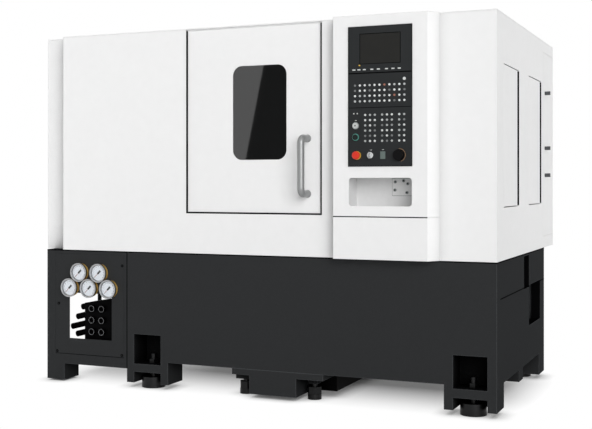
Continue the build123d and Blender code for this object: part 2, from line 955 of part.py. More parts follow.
with BuildPart() as right_side_cover:
    with BuildSketch(side_plane(right_x)):
        rectangle_between(cover_back_y, back_y, base_height, roof_underside)
        for start in service_starts:
            rectangle_between(
                start - side_door_gap,
                start + side_door_width + finger_gap,
                side_door_bottom - side_door_gap,
                side_door_top + side_door_gap,
                mode=Mode.SUBTRACT,
            )
        rectangle_between(
            cabinet_start_y - side_door_gap,
            cabinet_end_y + side_door_gap,
            cabinet_door_bottom - side_door_gap,
            cabinet_door_top + side_door_gap,
            mode=Mode.SUBTRACT,
        )
    extrude(amount=-cover_sheet)
    for start in service_starts:
        channel_end = start + side_door_width + finger_gap
        with BuildSketch(level_plane(side_door_bottom - side_door_gap)):
            outline(
                (side_inner_x, channel_end),
                (side_inner_x - finger_channel_depth, channel_end),
                (side_inner_x - finger_channel_depth, channel_end - finger_gap),
                (side_inner_x - finger_channel_depth + cover_sheet, channel_end - finger_gap),
                (side_inner_x - finger_channel_depth + cover_sheet, channel_end - cover_sheet),
                (right_x, channel_end - cover_sheet),
                (right_x, channel_end),
            )
        extrude(amount=side_door_height + side_door_gap * 2)
    for pivot_y, low, high in pivot_posts:
        for tab_bottom in (low - side_door_gap - pivot_tab_sheet, high + side_door_gap):
            with BuildSketch(level_plane(tab_bottom)):
                rectangle_between(
                    pivot_x - pivot_tab_margin,
                    side_inner_x,
                    pivot_y - pivot_tab_margin,
                    pivot_y + pivot_tab_margin,
                )
                with Locations((pivot_x, pivot_y)):
                    Circle(pivot_radius + running_gap, mode=Mode.SUBTRACT)
            extrude(amount=pivot_tab_sheet)
save(right_side_cover.part, "right_side_cover")


def pivoted_door(start, end, low, high, pivot_y, margin):
    """Flat sheet door with a stiffening tray and a pivot at each end of one edge."""
    with BuildPart() as door:
        with BuildSketch(side_plane(right_x)):
            rectangle_between(start, end, low, high)
        extrude(amount=-cover_sheet)
        with BuildSketch(side_plane(side_inner_x)):
            rectangle_between(
                start + margin,
                end - margin,
                low + margin,
                high - margin,
            )
            rectangle_between(
                start + margin + cover_sheet,
                end - margin - cover_sheet,
                low + margin + cover_sheet,
                high - margin - cover_sheet,
                mode=Mode.SUBTRACT,
            )
        extrude(amount=-stiffener_depth)
        for boss_bottom in (low, high - pivot_boss_height):
            with BuildSketch(level_plane(boss_bottom)):
                rectangle_between(
                    pivot_x - pivot_boss / 2, side_inner_x, pivot_y - pivot_inset, pivot_y + pivot_inset
                )
            extrude(amount=pivot_boss_height)
        for pin_bottom in (low - side_door_gap - pivot_tab_sheet, high):
            with BuildSketch(level_plane(pin_bottom)):
                with Locations((pivot_x, pivot_y)):
                    Circle(pivot_radius)
            extrude(amount=side_door_gap + pivot_tab_sheet)
    return door.part


for door_name, start in zip(("side_door_front", "side_door_rear"), service_starts):
    end = start + side_door_width
    door = pivoted_door(start, end, side_door_bottom, side_door_top, start + pivot_inset, stiffener_margin)
    save(door, door_name)

# Electrical cabinet door, with holes for its knobs
knob_y = cabinet_start_y + knob_inset
knob_heights = (upper_latch_height, lower_latch_height, main_switch_height)
plain_cabinet_door = pivoted_door(
    cabinet_start_y,
    cabinet_end_y,
    cabinet_door_bottom,
    cabinet_door_top,
    cabinet_end_y - pivot_inset,
    cabinet_stiffener_margin,
)
with BuildPart() as cabinet_door:
    add(plain_cabinet_door)
    with BuildSketch(side_plane(right_x)):
        with Locations(*[(knob_y, height) for height in knob_heights]):
            Circle(knob_shaft_radius + running_gap)
    extrude(amount=-(cover_sheet + overrun), mode=Mode.SUBTRACT)
save(cabinet_door.part, "cabinet_door")


def turning_knob(height, shaft_length):
    """Round knob with a grip bar, on a shaft through the cabinet door."""
    with BuildPart() as knob:
        with BuildSketch(side_plane(right_x)):
            with Locations((knob_y, height)):
                Circle(knob_radius)
        extrude(amount=knob_base_reach)
        with BuildSketch(side_plane(right_x + knob_base_reach)):
            rectangle_between(
                knob_y - knob_grip_width / 2,
                knob_y + knob_grip_width / 2,
                height - knob_radius,
                height + knob_radius,
            )
        extrude(amount=knob_reach - knob_base_reach)
        with BuildSketch(side_plane(right_x)):
            with Locations((knob_y, height)):
                Circle(knob_shaft_radius)
        extrude(amount=-shaft_length)
    return knob.part


# Quarter-turn latches, each with a cam behind the door, and the main switch
cam_x = side_inner_x - running_gap
for latch_name, height in (("upper_latch", upper_latch_height), ("lower_latch", lower_latch_height)):
    plain_knob = turning_knob(height, right_x - cam_x + latch_cam_sheet)
    with BuildPart() as latch:
        add(plain_knob)
        with BuildSketch(side_plane(cam_x)):
            rectangle_between(
                knob_y - latch_cam_width / 2,
                knob_y + latch_cam_width / 2,
                height - latch_cam_width / 2,
                height + latch_cam_reach,
            )
        extrude(amount=-latch_cam_sheet)
    save(latch.part, latch_name)

main_switch = turning_knob(main_switch_height, switch_shaft_length)
save(main_switch, "main_switch")

# Control housing and the cover below it
control_cheek_x = control_right_x + control_cheek


def control_shell(bottom, top):
    """Sheet box in front of the front cover, open to the rear."""
    with BuildPart() as shell:
        with BuildSketch(level_plane(bottom)):
            outline(
                (control_left_x, front_y),
                (control_left_x, control_y),
                (control_right_x, control_y),
                (control_cheek_x, front_y),
            )
        extrude(amount=top - bottom)
        offset(
            amount=-cover_sheet,
            openings=shell.faces().sort_by(Axis.Y)[-1],
            kind=Kind.INTERSECTION,
        )
    return shell.part


panel_right_x = right_x - panel_right_gap
panel_left_x = panel_right_x - panel_width
panel_top = panel_bottom + operator_height + keyboard_height + display_height
keyboard_bottom = panel_bottom + operator_height
display_bottom = keyboard_bottom + keyboard_height
upper_control_shell = control_shell(control_bottom + control_seam / 2, machine_height)

with BuildPart() as control_housing:
    add(upper_control_shell)
    with BuildSketch(front_plane(control_y)):
        rectangle_between(
            panel_left_x + panel_lap,
            panel_right_x - panel_lap,
            panel_bottom + panel_lap,
            panel_top - panel_lap,
        )
        rounded_between(
            panel_left_x,
            panel_right_x,
            pocket_bottom,
            pocket_bottom + pocket_height,
            pocket_radius,
        )
    extrude(amount=-(cover_sheet + overrun), mode=Mode.SUBTRACT)
save(control_housing.part, "control_housing")

lower_control_cover = control_shell(base_height, control_bottom - control_seam / 2)
save(lower_control_cover, "lower_control_cover")

with BuildPart() as storage_tray:
    with BuildSketch(front_plane(control_y + cover_sheet)):
        rectangle_between(
            panel_left_x - tray_lap,
            panel_right_x + tray_lap,
            pocket_bottom - tray_lap,
            pocket_bottom + pocket_height + tray_lap,
        )
    extrude(amount=-tray_depth)
    offset(
        amount=-tray_sheet,
        openings=storage_tray.faces().sort_by(Axis.Y)[0],
        kind=Kind.INTERSECTION,
    )
save(storage_tray.part, "storage_tray")

# Display unit with its screen and soft keys
panel_front_y = control_y - panel_flange
screen_left_x = panel_left_x + screen_left_gap
screen_bottom = display_bottom + screen_rise
box_left_x = panel_left_x + panel_lap + running_gap
box_right_x = panel_right_x - panel_lap - running_gap


def panel_module(bottom, top, box_bottom, box_top):
    """Flanged panel plate with the box that stands through the housing."""
    with BuildPart() as module:
        with BuildSketch(front_plane(control_y)):
            rectangle_between(panel_left_x, panel_right_x, bottom, top)
        extrude(amount=panel_flange)
        with BuildSketch(front_plane(control_y)):
            rectangle_between(box_left_x, box_right_x, box_bottom, box_top)
        extrude(amount=-panel_box_depth)
    return module.part


plain_display = panel_module(
    display_bottom + panel_joint, panel_top, display_bottom + panel_joint, panel_top - panel_lap - running_gap
)
with BuildPart() as display_unit:
    add(plain_display)
    with BuildSketch(front_plane(panel_front_y)):
        rectangle_between(
            screen_left_x, screen_left_x + screen_width, screen_bottom, screen_bottom + screen_height
        )
    extrude(amount=-screen_recess, mode=Mode.SUBTRACT)
    with BuildSketch(front_plane(panel_front_y)):
        with Locations((screen_left_x + screen_width / 2, display_bottom + soft_key_rise)):
            with GridLocations(soft_key_pitch, 0, soft_key_count, 1):
                Rectangle(soft_key_width, soft_key_height)
    extrude(amount=key_reach)
save(display_unit.part, "display_unit")

with BuildPart() as display_screen:
    with BuildSketch(front_plane(panel_front_y + screen_recess)):
        rectangle_between(
            screen_left_x, screen_left_x + screen_width, screen_bottom, screen_bottom + screen_height
        )
    extrude(amount=screen_glass)
save(display_screen.part, "display_screen")

# Keyboard panel and its keys
keyboard_panel = panel_module(
    keyboard_bottom + panel_joint, display_bottom, keyboard_bottom + panel_joint, display_bottom
)
save(keyboard_panel, "keyboard_panel")

with BuildPart() as keyboard_keys:
    with BuildSketch(front_plane(panel_front_y)):
        for column in range(keyboard_columns):
            for row in range(keyboard_rows):
                with Locations(
                    (
                        panel_left_x + keyboard_first_gap + keyboard_pitch * column,
                        keyboard_bottom + keyboard_first_rise + keyboard_row_pitch * row,
                    )
                ):
                    RegularPolygon(key_radius, key_sides)
        with Locations(
            (
                panel_left_x + keyboard_first_gap + keyboard_pitch * (keyboard_columns - 1),
                keyboard_bottom + keyboard_first_rise + keyboard_row_pitch * keyboard_rows,
            )
        ):
            RegularPolygon(key_radius, key_sides)
    extrude(amount=key_reach)
save(keyboard_keys.part, "keyboard_keys")

# Operator panel with holes for its buttons and a closed port
hold_place = (panel_left_x + button_left_gap, panel_bottom + hold_rise)
start_place = (panel_left_x + button_left_gap, panel_bottom + start_rise)
stop_place = (panel_left_x + stop_left_gap, panel_bottom + switch_row_rise)
key_switch_place = (panel_left_x + key_switch_left_gap, panel_bottom + switch_row_rise)
port_place = (panel_left_x + port_left_gap, panel_bottom + switch_row_rise)
override_place = (panel_left_x + override_left_gap, panel_bottom + switch_row_rise)
plain_operator_panel = panel_module(
    panel_bottom, keyboard_bottom, panel_bottom + panel_lap + running_gap, keyboard_bottom
)

with BuildPart() as operator_panel:
    add(plain_operator_panel)
    with BuildSketch(front_plane(panel_front_y)):
        with Locations(hold_place, start_place, key_switch_place, override_place):
            Circle(button_stem_radius + running_gap)
        with Locations(stop_place):
            Circle(stop_stem_radius + running_gap)
    extrude(amount=-(stop_stem_length + stop_travel + overrun), mode=Mode.SUBTRACT)
    with BuildSketch(front_plane(panel_front_y)):
        with Locations(hold_place, start_place):
            Circle(button_ring_radius)
            Circle(button_radius + running_gap, mode=Mode.SUBTRACT)
    extrude(amount=button_ring_reach)
    with BuildSketch(front_plane(panel_front_y)):
        with Locations(port_place):
            Rectangle(port_width, port_height)
    extrude(amount=port_reach)
save(operator_panel.part, "operator_panel")

with BuildPart() as operator_keys:
    with BuildSketch(front_plane(panel_front_y)):
        for column in range(operator_columns):
            group_shift = operator_group_gap * (column // 3)
            for row in range(operator_rows):
                with Locations(
                    (
                        panel_left_x + operator_first_gap + operator_pitch * column + group_shift,
                        panel_bottom + operator_first_rise + operator_row_pitch * row,
                    )
                ):
                    RegularPolygon(key_radius, key_sides)
    extrude(amount=key_reach)
save(operator_keys.part, "operator_keys")

for button_name, place in (("hold_button", hold_place), ("start_button", start_place)):
    with BuildPart() as push_button:
        with BuildSketch(front_plane(panel_front_y - button_travel)):
            with Locations(place):
                Circle(button_radius)
        extrude(amount=button_reach - button_travel)
        with BuildSketch(front_plane(panel_front_y - button_travel)):
            with Locations(place):
                Circle(button_stem_radius)
        extrude(amount=-(button_stem_length + button_travel))
    save(push_button.part, button_name)

with BuildPart() as stop_collar:
    with BuildSketch(front_plane(panel_front_y)):
        with Locations(stop_place):
            Circle(stop_collar_radius)
            Circle(stop_stem_radius + running_gap, mode=Mode.SUBTRACT)
    extrude(amount=stop_collar_reach)
save(stop_collar.part, "stop_collar")

stop_cap_y = panel_front_y - stop_collar_reach - stop_travel - running_gap
stop_cap_height = stop_reach - stop_collar_reach - stop_travel - running_gap
with BuildPart() as stop_button:
    with BuildSketch(front_plane(stop_cap_y)):
        with Locations(stop_place):
            Circle(stop_radius)
    extrude(amount=stop_cap_height)
    chamfer(stop_button.edges().sort_by(Axis.Y)[0], length=stop_dome)
    with BuildSketch(front_plane(stop_cap_y)):
        with Locations(stop_place):
            Circle(stop_stem_radius)
    extrude(amount=-(panel_front_y - stop_cap_y + stop_stem_length))
save(stop_button.part, "stop_button")

with BuildPart() as key_switch:
    with BuildSketch(front_plane(panel_front_y)):
        with Locations(key_switch_place):
            Circle(key_switch_radius)
    extrude(amount=key_switch_reach)
    with BuildSketch(front_plane(panel_front_y - key_switch_reach)):
        with Locations(key_switch_place):
            Rectangle(key_blade_width, key_switch_radius * 2)
    extrude(amount=key_blade_reach)
    with BuildSketch(front_plane(panel_front_y)):
        with Locations(key_switch_place):
            Circle(button_stem_radius)
    extrude(amount=-button_stem_length)
save(key_switch.part, "key_switch")

with BuildPart() as override_knob:
    with BuildSketch(front_plane(panel_front_y)):
        with Locations(override_place):
            Circle(override_skirt_radius)
    extrude(amount=override_skirt_reach)
    with BuildSketch(front_plane(panel_front_y - override_skirt_reach)):
        with Locations(override_place):
            Circle(override_radius)
    extrude(amount=override_reach - override_skirt_reach)
    with BuildSketch(front_plane(panel_front_y)):
        with Locations(override_place):
            Circle(button_stem_radius)
    extrude(amount=-button_stem_length)
save(override_knob.part, "override_knob")

# Sliding door: folded tray, window pane and its clamp frame
leaf_left_x = door_left_x + door_gap
leaf_right_x = door_right_x - door_gap
leaf_bottom = sill_height + door_gap
leaf_top = roof_underside - door_gap
leaf_y = front_y + door_set_back
leaf_back_y = leaf_y + door_depth
window_right_x = right_x - window_right_gap
window_left_x = window_right_x - window_width
window_top = window_bottom + window_height
pane_y = leaf_y + door_sheet
handle_x = right_x - handle_right_gap

with BuildPart() as door_leaf:
    with BuildSketch(front_plane(leaf_y)):
        rectangle_between(leaf_left_x, leaf_right_x, leaf_bottom, leaf_top)
    extrude(amount=-door_depth)
    offset(
        amount=-door_sheet,
        openings=door_leaf.faces().sort_by(Axis.Y)[-1],
        kind=Kind.INTERSECTION,
    )
    with BuildSketch(front_plane(leaf_y)):
        rounded_between(window_left_x, window_right_x, window_bottom, window_top, window_radius)
    extrude(amount=-(door_sheet + overrun), mode=Mode.SUBTRACT)
save(door_leaf.part, "door_leaf")

with BuildPart() as door_window:
    with BuildSketch(front_plane(pane_y)):
        rounded_between(
            window_left_x - window_lap,
            window_right_x + window_lap,
            window_bottom - window_lap,
            window_top + window_lap,
            window_radius + window_lap,
        )
    extrude(amount=-window_glass)
save(door_window.part, "door_window")

with BuildPart() as window_frame:
    with BuildSketch(front_plane(pane_y + window_glass)):
        rounded_between(
            window_left_x - window_lap,
            window_right_x + window_lap,
            window_bottom - window_lap,
            window_top + window_lap,
            window_radius + window_lap,
        )
        rounded_between(
            window_left_x, window_right_x, window_bottom, window_top, window_radius, mode=Mode.SUBTRACT
        )
    extrude(amount=-window_clamp)
save(window_frame.part, "window_frame")

# Pull handle on the door
handle_out_y = leaf_y - handle_standoff
with BuildPart() as door_handle:
    with BuildLine():
        FilletPolyline(
            (handle_x, leaf_y, handle_bottom),
            (handle_x, handle_out_y, handle_bottom),
            (handle_x, handle_out_y, handle_bottom + handle_length),
            (handle_x, leaf_y, handle_bottom + handle_length),
            radius=handle_bend,
        )
    with BuildSketch(front_plane(leaf_y)):
        with Locations((handle_x, handle_bottom)):
            Circle(handle_bar_radius)
    sweep()
    with BuildSketch(front_plane(leaf_y)):
        with Locations((handle_x, handle_bottom), (handle_x, handle_bottom + handle_length)):
            Circle(handle_foot_radius)
    extrude(amount=handle_foot_height)
save(door_handle.part, "door_handle")

# Lower and upper door rails
rail_left_x = leaf_left_x - door_travel
with BuildPart() as door_rails:
    with BuildSketch(level_plane(leaf_bottom - rail_height)):
        rectangle_between(rail_left_x, leaf_right_x, cover_back_y, cover_back_y + rail_depth)
    extrude(amount=rail_height)
    with BuildSketch(level_plane(roof_underside - top_rail_height)):
        rectangle_between(
            rail_left_x, leaf_right_x, leaf_back_y + running_gap, leaf_back_y + running_gap + top_rail_depth
        )
    extrude(amount=top_rail_height)
save(door_rails.part, "door_rails")

# Slanted bed with four guide ways
bed_right_x = right_x - bed_right_gap
bed_left_x = bed_right_x - bed_length
way_left_x = bed_right_x - way_length
slope_rise = bed_run * sin(radians(bed_angle)) / cos(radians(bed_angle))
bed_profile = (
    (front_y + bed_front, base_height),
    (front_y + bed_front, bed_nose_height),
    (front_y + bed_front + bed_run, bed_nose_height + slope_rise),
    (front_y + bed_back, bed_nose_height + slope_rise),
    (front_y + bed_back, base_height),
)

with BuildPart() as slant_bed:
    with BuildSketch(side_plane(bed_left_x)):
        outline(*bed_profile)
    extrude(amount=bed_length)
    with BuildSketch(slope_plane(way_left_x)):
        for low in (tail_way_low, tail_way_high, saddle_way_low, saddle_way_high):
            rectangle_between(low, low + way_width, 0, way_height)
    extrude(amount=way_length)
save(slant_bed.part, "slant_bed")

# Headstock with its spindle bore
headstock_left_x = bed_left_x
headstock_right_x = headstock_left_x + headstock_length
with BuildPart() as headstock:
    with BuildSketch(slope_plane(headstock_left_x)):
        crowned_outline(
            headstock_base_low, headstock_base_high, spindle_along, spindle_off, headstock_crown, 0
        )
        with Locations((spindle_along, spindle_off)):
            Circle(spindle_radius + running_gap, mode=Mode.SUBTRACT)
    extrude(amount=headstock_length)
save(headstock.part, "headstock")

# Spindle with its pulley, and the chuck on its nose
nose_left_x = headstock_right_x + running_gap
nose_right_x = nose_left_x + spindle_nose_length
pulley_right_x = headstock_left_x - pulley_gap
spindle_left_x = headstock_left_x - spindle_tail
with BuildPart() as spindle:
    with BuildSketch(slope_plane(spindle_left_x)):
        with Locations((spindle_along, spindle_off)):
            Circle(spindle_radius)
    extrude(amount=nose_right_x - spindle_left_x)
    with BuildSketch(slope_plane(nose_left_x)):
        with Locations((spindle_along, spindle_off)):
            Circle(spindle_nose_radius)
    extrude(amount=spindle_nose_length)
    with BuildSketch(slope_plane(pulley_right_x - pulley_length)):
        with Locations((spindle_along, spindle_off)):
            Circle(pulley_radius)
    extrude(amount=pulley_length)
    with BuildSketch(slope_plane(spindle_left_x)):
        with Locations((spindle_along, spindle_off)):
            Circle(spindle_bore)
    extrude(amount=nose_right_x - spindle_left_x, mode=Mode.SUBTRACT)
save(spindle.part, "spindle")

chuck_right_x = nose_right_x + chuck_length
jaw_left_x = chuck_right_x - jaw_seat
with BuildPart() as chuck_body:
    with BuildSketch(slope_plane(nose_right_x)):
        with Locations((spindle_along, spindle_off)):
            Circle(chuck_radius)
            Circle(chuck_bore, mode=Mode.SUBTRACT)
    extrude(amount=chuck_length)
    with BuildSketch(slope_plane(jaw_left_x)):
        with Locations((spindle_along, spindle_off)):
            with PolarLocations(chuck_radius / 2, jaw_count):
                Rectangle(chuck_radius + overrun, jaw_width + running_gap * 2)
    extrude(amount=jaw_seat, mode=Mode.SUBTRACT)
save(chuck_body.part, "chuck_body")


def jaw_plane(number):
    """Cross plane at the jaws' seat whose first axis points along one jaw."""
    depth, height = slope_point(spindle_along, spindle_off)
    angle = radians(bed_angle + number * 360 / jaw_count)
    return Plane(origin=(jaw_left_x, depth, height), x_dir=(0, cos(angle), sin(angle)), z_dir=(1, 0, 0))


for number in range(jaw_count):
    with BuildPart() as chuck_jaw:
        with BuildSketch(jaw_plane(number)):
            rectangle_between(jaw_inner, jaw_outer, -jaw_width / 2, jaw_width / 2)
        extrude(amount=jaw_length)
        with BuildSketch(jaw_plane(number).offset(jaw_length - jaw_step)):
            rectangle_between(jaw_step_radius, jaw_outer, -jaw_width / 2, jaw_width / 2)
        extrude(amount=jaw_step, mode=Mode.SUBTRACT)
    save(chuck_jaw.part, f"chuck_jaw_{number + 1}")


def straddling_outline(low, high, plate):
    """Plate on two guide ways, with a skirt down each outer side."""
    top = way_height + plate
    outer_low = low - skirt_gap - skirt_width
    outer_high = high + skirt_gap + skirt_width
    skirt_bottom = way_height - way_skirt
    outline(
        (outer_low, skirt_bottom),
        (low - skirt_gap, skirt_bottom),
        (low - skirt_gap, way_height),
        (high + skirt_gap, way_height),
        (high + skirt_gap, skirt_bottom),
        (outer_high, skirt_bottom),
        (outer_high, top),
        (outer_low, top),
    )


# Saddle along the bed, cross slide up the slope and the tool turret
saddle_right_x = right_x - saddle_right_gap
saddle_left_x = saddle_right_x - saddle_length
saddle_top = way_height + saddle_plate
with BuildPart() as saddle:
    with BuildSketch(slope_plane(saddle_left_x)):
        straddling_outline(saddle_way_low, saddle_way_high + way_width, saddle_plate)
    extrude(amount=saddle_length)
save(saddle.part, "saddle")

cross_left_x = saddle_left_x
turret_right_x = cross_left_x - running_gap
turret_left_x = turret_right_x - turret_length
with BuildPart() as cross_slide:
    with BuildSketch(slope_plane(cross_left_x)):
        rectangle_between(cross_slide_low, cross_slide_high, saddle_top, saddle_top + cross_slide_plate)
    extrude(amount=cross_slide_length)
    with BuildSketch(slope_plane(cross_left_x)):
        crowned_outline(
            turret_along - turret_crown,
            turret_along + turret_crown,
            turret_along,
            spindle_off,
            turret_crown,
            saddle_top + cross_slide_plate,
        )
    extrude(amount=cross_slide_length)
save(cross_slide.part, "cross_slide")

turret_flat = turret_radius * cos(radians(180 / turret_sides))
tool_left_x = turret_left_x + (turret_length - tool_block_length) / 2
with BuildPart() as turret_disc:
    with BuildSketch(slope_plane(turret_left_x)):
        with Locations((turret_along, spindle_off)):
            RegularPolygon(turret_radius, turret_sides, rotation=180 / turret_sides)
    extrude(amount=turret_length)
    with BuildSketch(slope_plane(turret_left_x - turret_hub_length)):
        with Locations((turret_along, spindle_off)):
            Circle(turret_hub_radius)
    extrude(amount=turret_hub_length)
    with BuildSketch(slope_plane(tool_left_x)):
        with Locations((turret_along, spindle_off)):
            with PolarLocations(turret_flat + tool_block_height / 2, turret_sides):
                Rectangle(tool_block_height, tool_block_width)
    extrude(amount=tool_block_length)
    with BuildSketch(slope_plane(tool_left_x)):
        with Locations((turret_along, spindle_off)):
            with PolarLocations(turret_flat + tool_block_height + tool_reach / 2, turret_sides):
                Rectangle(tool_reach, tool_shank)
    extrude(amount=tool_shank)
save(turret_disc.part, "turret_disc")

# Tailstock on its own ways, with its quill
tailstock_right_x = right_x - tailstock_right_gap
tailstock_left_x = tailstock_right_x - tailstock_length
tailstock_top = way_height + tailstock_plate
with BuildPart() as tailstock:
    with BuildSketch(slope_plane(tailstock_left_x)):
        straddling_outline(tail_way_low, tail_way_high + way_width, tailstock_plate)
    extrude(amount=tailstock_length)
    with BuildSketch(slope_plane(tailstock_left_x)):
        crowned_outline(
            spindle_along - tailstock_crown - tailstock_waist,
            spindle_along + tailstock_crown + tailstock_waist,
            spindle_along,
            spindle_off,
            tailstock_crown,
            tailstock_top,
        )
    extrude(amount=tailstock_length)
    with BuildSketch(slope_plane(tailstock_left_x)):
        with Locations((spindle_along, spindle_off)):
            Circle(quill_radius + running_gap)
    extrude(amount=tailstock_length, mode=Mode.SUBTRACT)
save(tailstock.part, "tailstock")

quill_left_x = tailstock_left_x - quill_reach
with BuildPart() as tailstock_quill:
    with BuildSketch(slope_plane(quill_left_x)):
        with Locations((spindle_along, spindle_off)):
            Circle(quill_radius)
    extrude(amount=quill_reach + quill_inside)
    with BuildSketch(slope_plane(quill_left_x)):
        with Locations((spindle_along, spindle_off)):
            Circle(quill_radius)
    with BuildSketch(slope_plane(quill_left_x - centre_length)):
        with Locations((spindle_along, spindle_off)):
            Circle(centre_tip_radius)
    loft()
save(tailstock_quill.part, "tailstock_quill")

# Chamber liner: the pan on the base and the walls at both ends of the chamber
liner_left_x = nose_right_x - liner_sheet - wall_gap
liner_right_x = control_left_x
liner_back_y = front_y + bed_back
liner_floor = base_height + liner_sheet
with BuildPart() as chamber_liner:
    with BuildSketch(level_plane(base_height)):
        rectangle_between(
            cabinet_left_x, side_inner_x - finger_channel_depth, strip_y + cover_sheet, liner_back_y
        )
        rectangle_between(
            bed_left_x - liner_clearance,
            bed_right_x + liner_clearance,
            front_y + bed_front - liner_clearance,
            liner_back_y + overrun,
            mode=Mode.SUBTRACT,
        )
        rectangle_between(
            chute_left_x,
            chute_right_x,
            front_y + chute_set_back,
            front_y + chute_set_back + chute_width,
            mode=Mode.SUBTRACT,
        )
    extrude(amount=liner_sheet)
    for wall_left_x in (liner_left_x, liner_right_x):
        with BuildSketch(side_plane(wall_left_x)):
            rectangle_between(
                front_y + liner_front_gap, liner_back_y, liner_floor, roof_underside - liner_top_gap
            )
        extrude(amount=liner_sheet)
    with BuildSketch(side_plane(liner_left_x)):
        outline(*bed_profile)
        offset(amount=liner_clearance, kind=Kind.INTERSECTION)
    extrude(amount=liner_sheet, mode=Mode.SUBTRACT)
    with BuildSketch(slope_plane(liner_left_x)):
        with Locations((spindle_along, spindle_off)):
            Circle(spindle_nose_radius + liner_clearance)
        rectangle_between(
            tail_way_low - liner_clearance,
            saddle_way_high + way_width + liner_clearance,
            0,
            way_height + liner_clearance,
        )
    extrude(amount=liner_sheet, mode=Mode.SUBTRACT)
save(chamber_liner.part, "chamber_liner")
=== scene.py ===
import logging
import math
from dataclasses import dataclass, field, replace
from enum import Enum
from typing import Any, Iterable, Sequence

import bmesh
import bpy
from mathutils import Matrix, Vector


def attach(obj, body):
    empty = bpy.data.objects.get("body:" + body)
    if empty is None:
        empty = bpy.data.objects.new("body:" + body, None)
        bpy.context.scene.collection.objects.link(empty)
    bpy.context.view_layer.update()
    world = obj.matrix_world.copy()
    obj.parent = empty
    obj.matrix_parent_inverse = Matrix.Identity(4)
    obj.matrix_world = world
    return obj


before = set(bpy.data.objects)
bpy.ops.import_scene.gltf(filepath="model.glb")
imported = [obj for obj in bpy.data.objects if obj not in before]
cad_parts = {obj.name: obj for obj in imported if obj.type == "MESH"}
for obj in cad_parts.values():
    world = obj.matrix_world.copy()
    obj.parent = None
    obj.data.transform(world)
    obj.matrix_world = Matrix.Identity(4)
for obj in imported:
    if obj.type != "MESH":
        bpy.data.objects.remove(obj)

LOG = logging.getLogger("lathe")
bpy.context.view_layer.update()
MM = 0.001
Point = tuple[float, float, float]
Pair = tuple[float, float]
Box = tuple[float, float, float, float]

# Colour sockets of the Mix node
MIX_A, MIX_B, MIX_OUT = 6, 7, 2
# Share by which the grain changes the roughness
ROUGH_SPREAD = 0.12
GRAIN_DETAIL, GRAIN_ROUGHNESS = 3.0, 0.55
# Samples of the edge rounding and the painted edge highlight, of the painted shade in recesses, and of the floor's
# painted contact shadow
EDGE_SAMPLES, SHADE_SAMPLES, CONTACT_SHADE_SAMPLES = 6, 8, 16
# Cosines between which an edge goes from the painted highlight to plain
HIGHLIGHT_TURN = (0.75, 0.98)
# One cell of a key field reaches through the whole depth, in metres
KEY_LAYER_START, KEY_LAYER_DEPTH = -2.0, 10.0
MERGE_DISTANCE = 1e-7


class Facing(Enum):
    """Directions in which small pieces look, as unit vectors."""

    FRONT = (0.0, -1.0, 0.0)
    RIGHT = (1.0, 0.0, 0.0)
    BACK = (0.0, 1.0, 0.0)
    LEFT = (-1.0, 0.0, 0.0)
    UP = (0.0, 0.0, 1.0)


def linear(hex_colour: str) -> tuple[float, float, float, float]:
    """Turns an sRGB hex colour to linear RGBA.

    Args:
        hex_colour: Six hex digits, with or without a leading hash.

    Returns:
        Linear red, green, blue and an alpha of one.
    """
    digits = hex_colour.lstrip("#")
    parts = [int(digits[i:i + 2], 16) / 255 for i in (0, 2, 4)]
    straight = [c / 12.92 if c <= 0.04045 else ((c + 0.055) / 1.055) ** 2.4 for c in parts]
    return (*straight, 1.0)


def add_node(tree: bpy.types.NodeTree, kind: str, settings: dict[str, Any] | None = None,
             inputs: dict[Any, Any] | None = None) -> bpy.types.Node:
    """Adds a node with its settings, values and links.

    Args:
        tree: Tree that takes the node.
        kind: Node type.
        settings: Node properties by name.
        inputs: Socket values, or sockets to link from, by input name or number.

    Returns:
        The new node.
    """
    node = tree.nodes.new(kind)
    for key, value in (settings or {}).items():
        setattr(node, key, value)
    for key, value in (inputs or {}).items():
        if isinstance(value, bpy.types.NodeSocket):
            tree.links.new(value, node.inputs[key])
        else:
            node.inputs[key].default_value = value
    return node


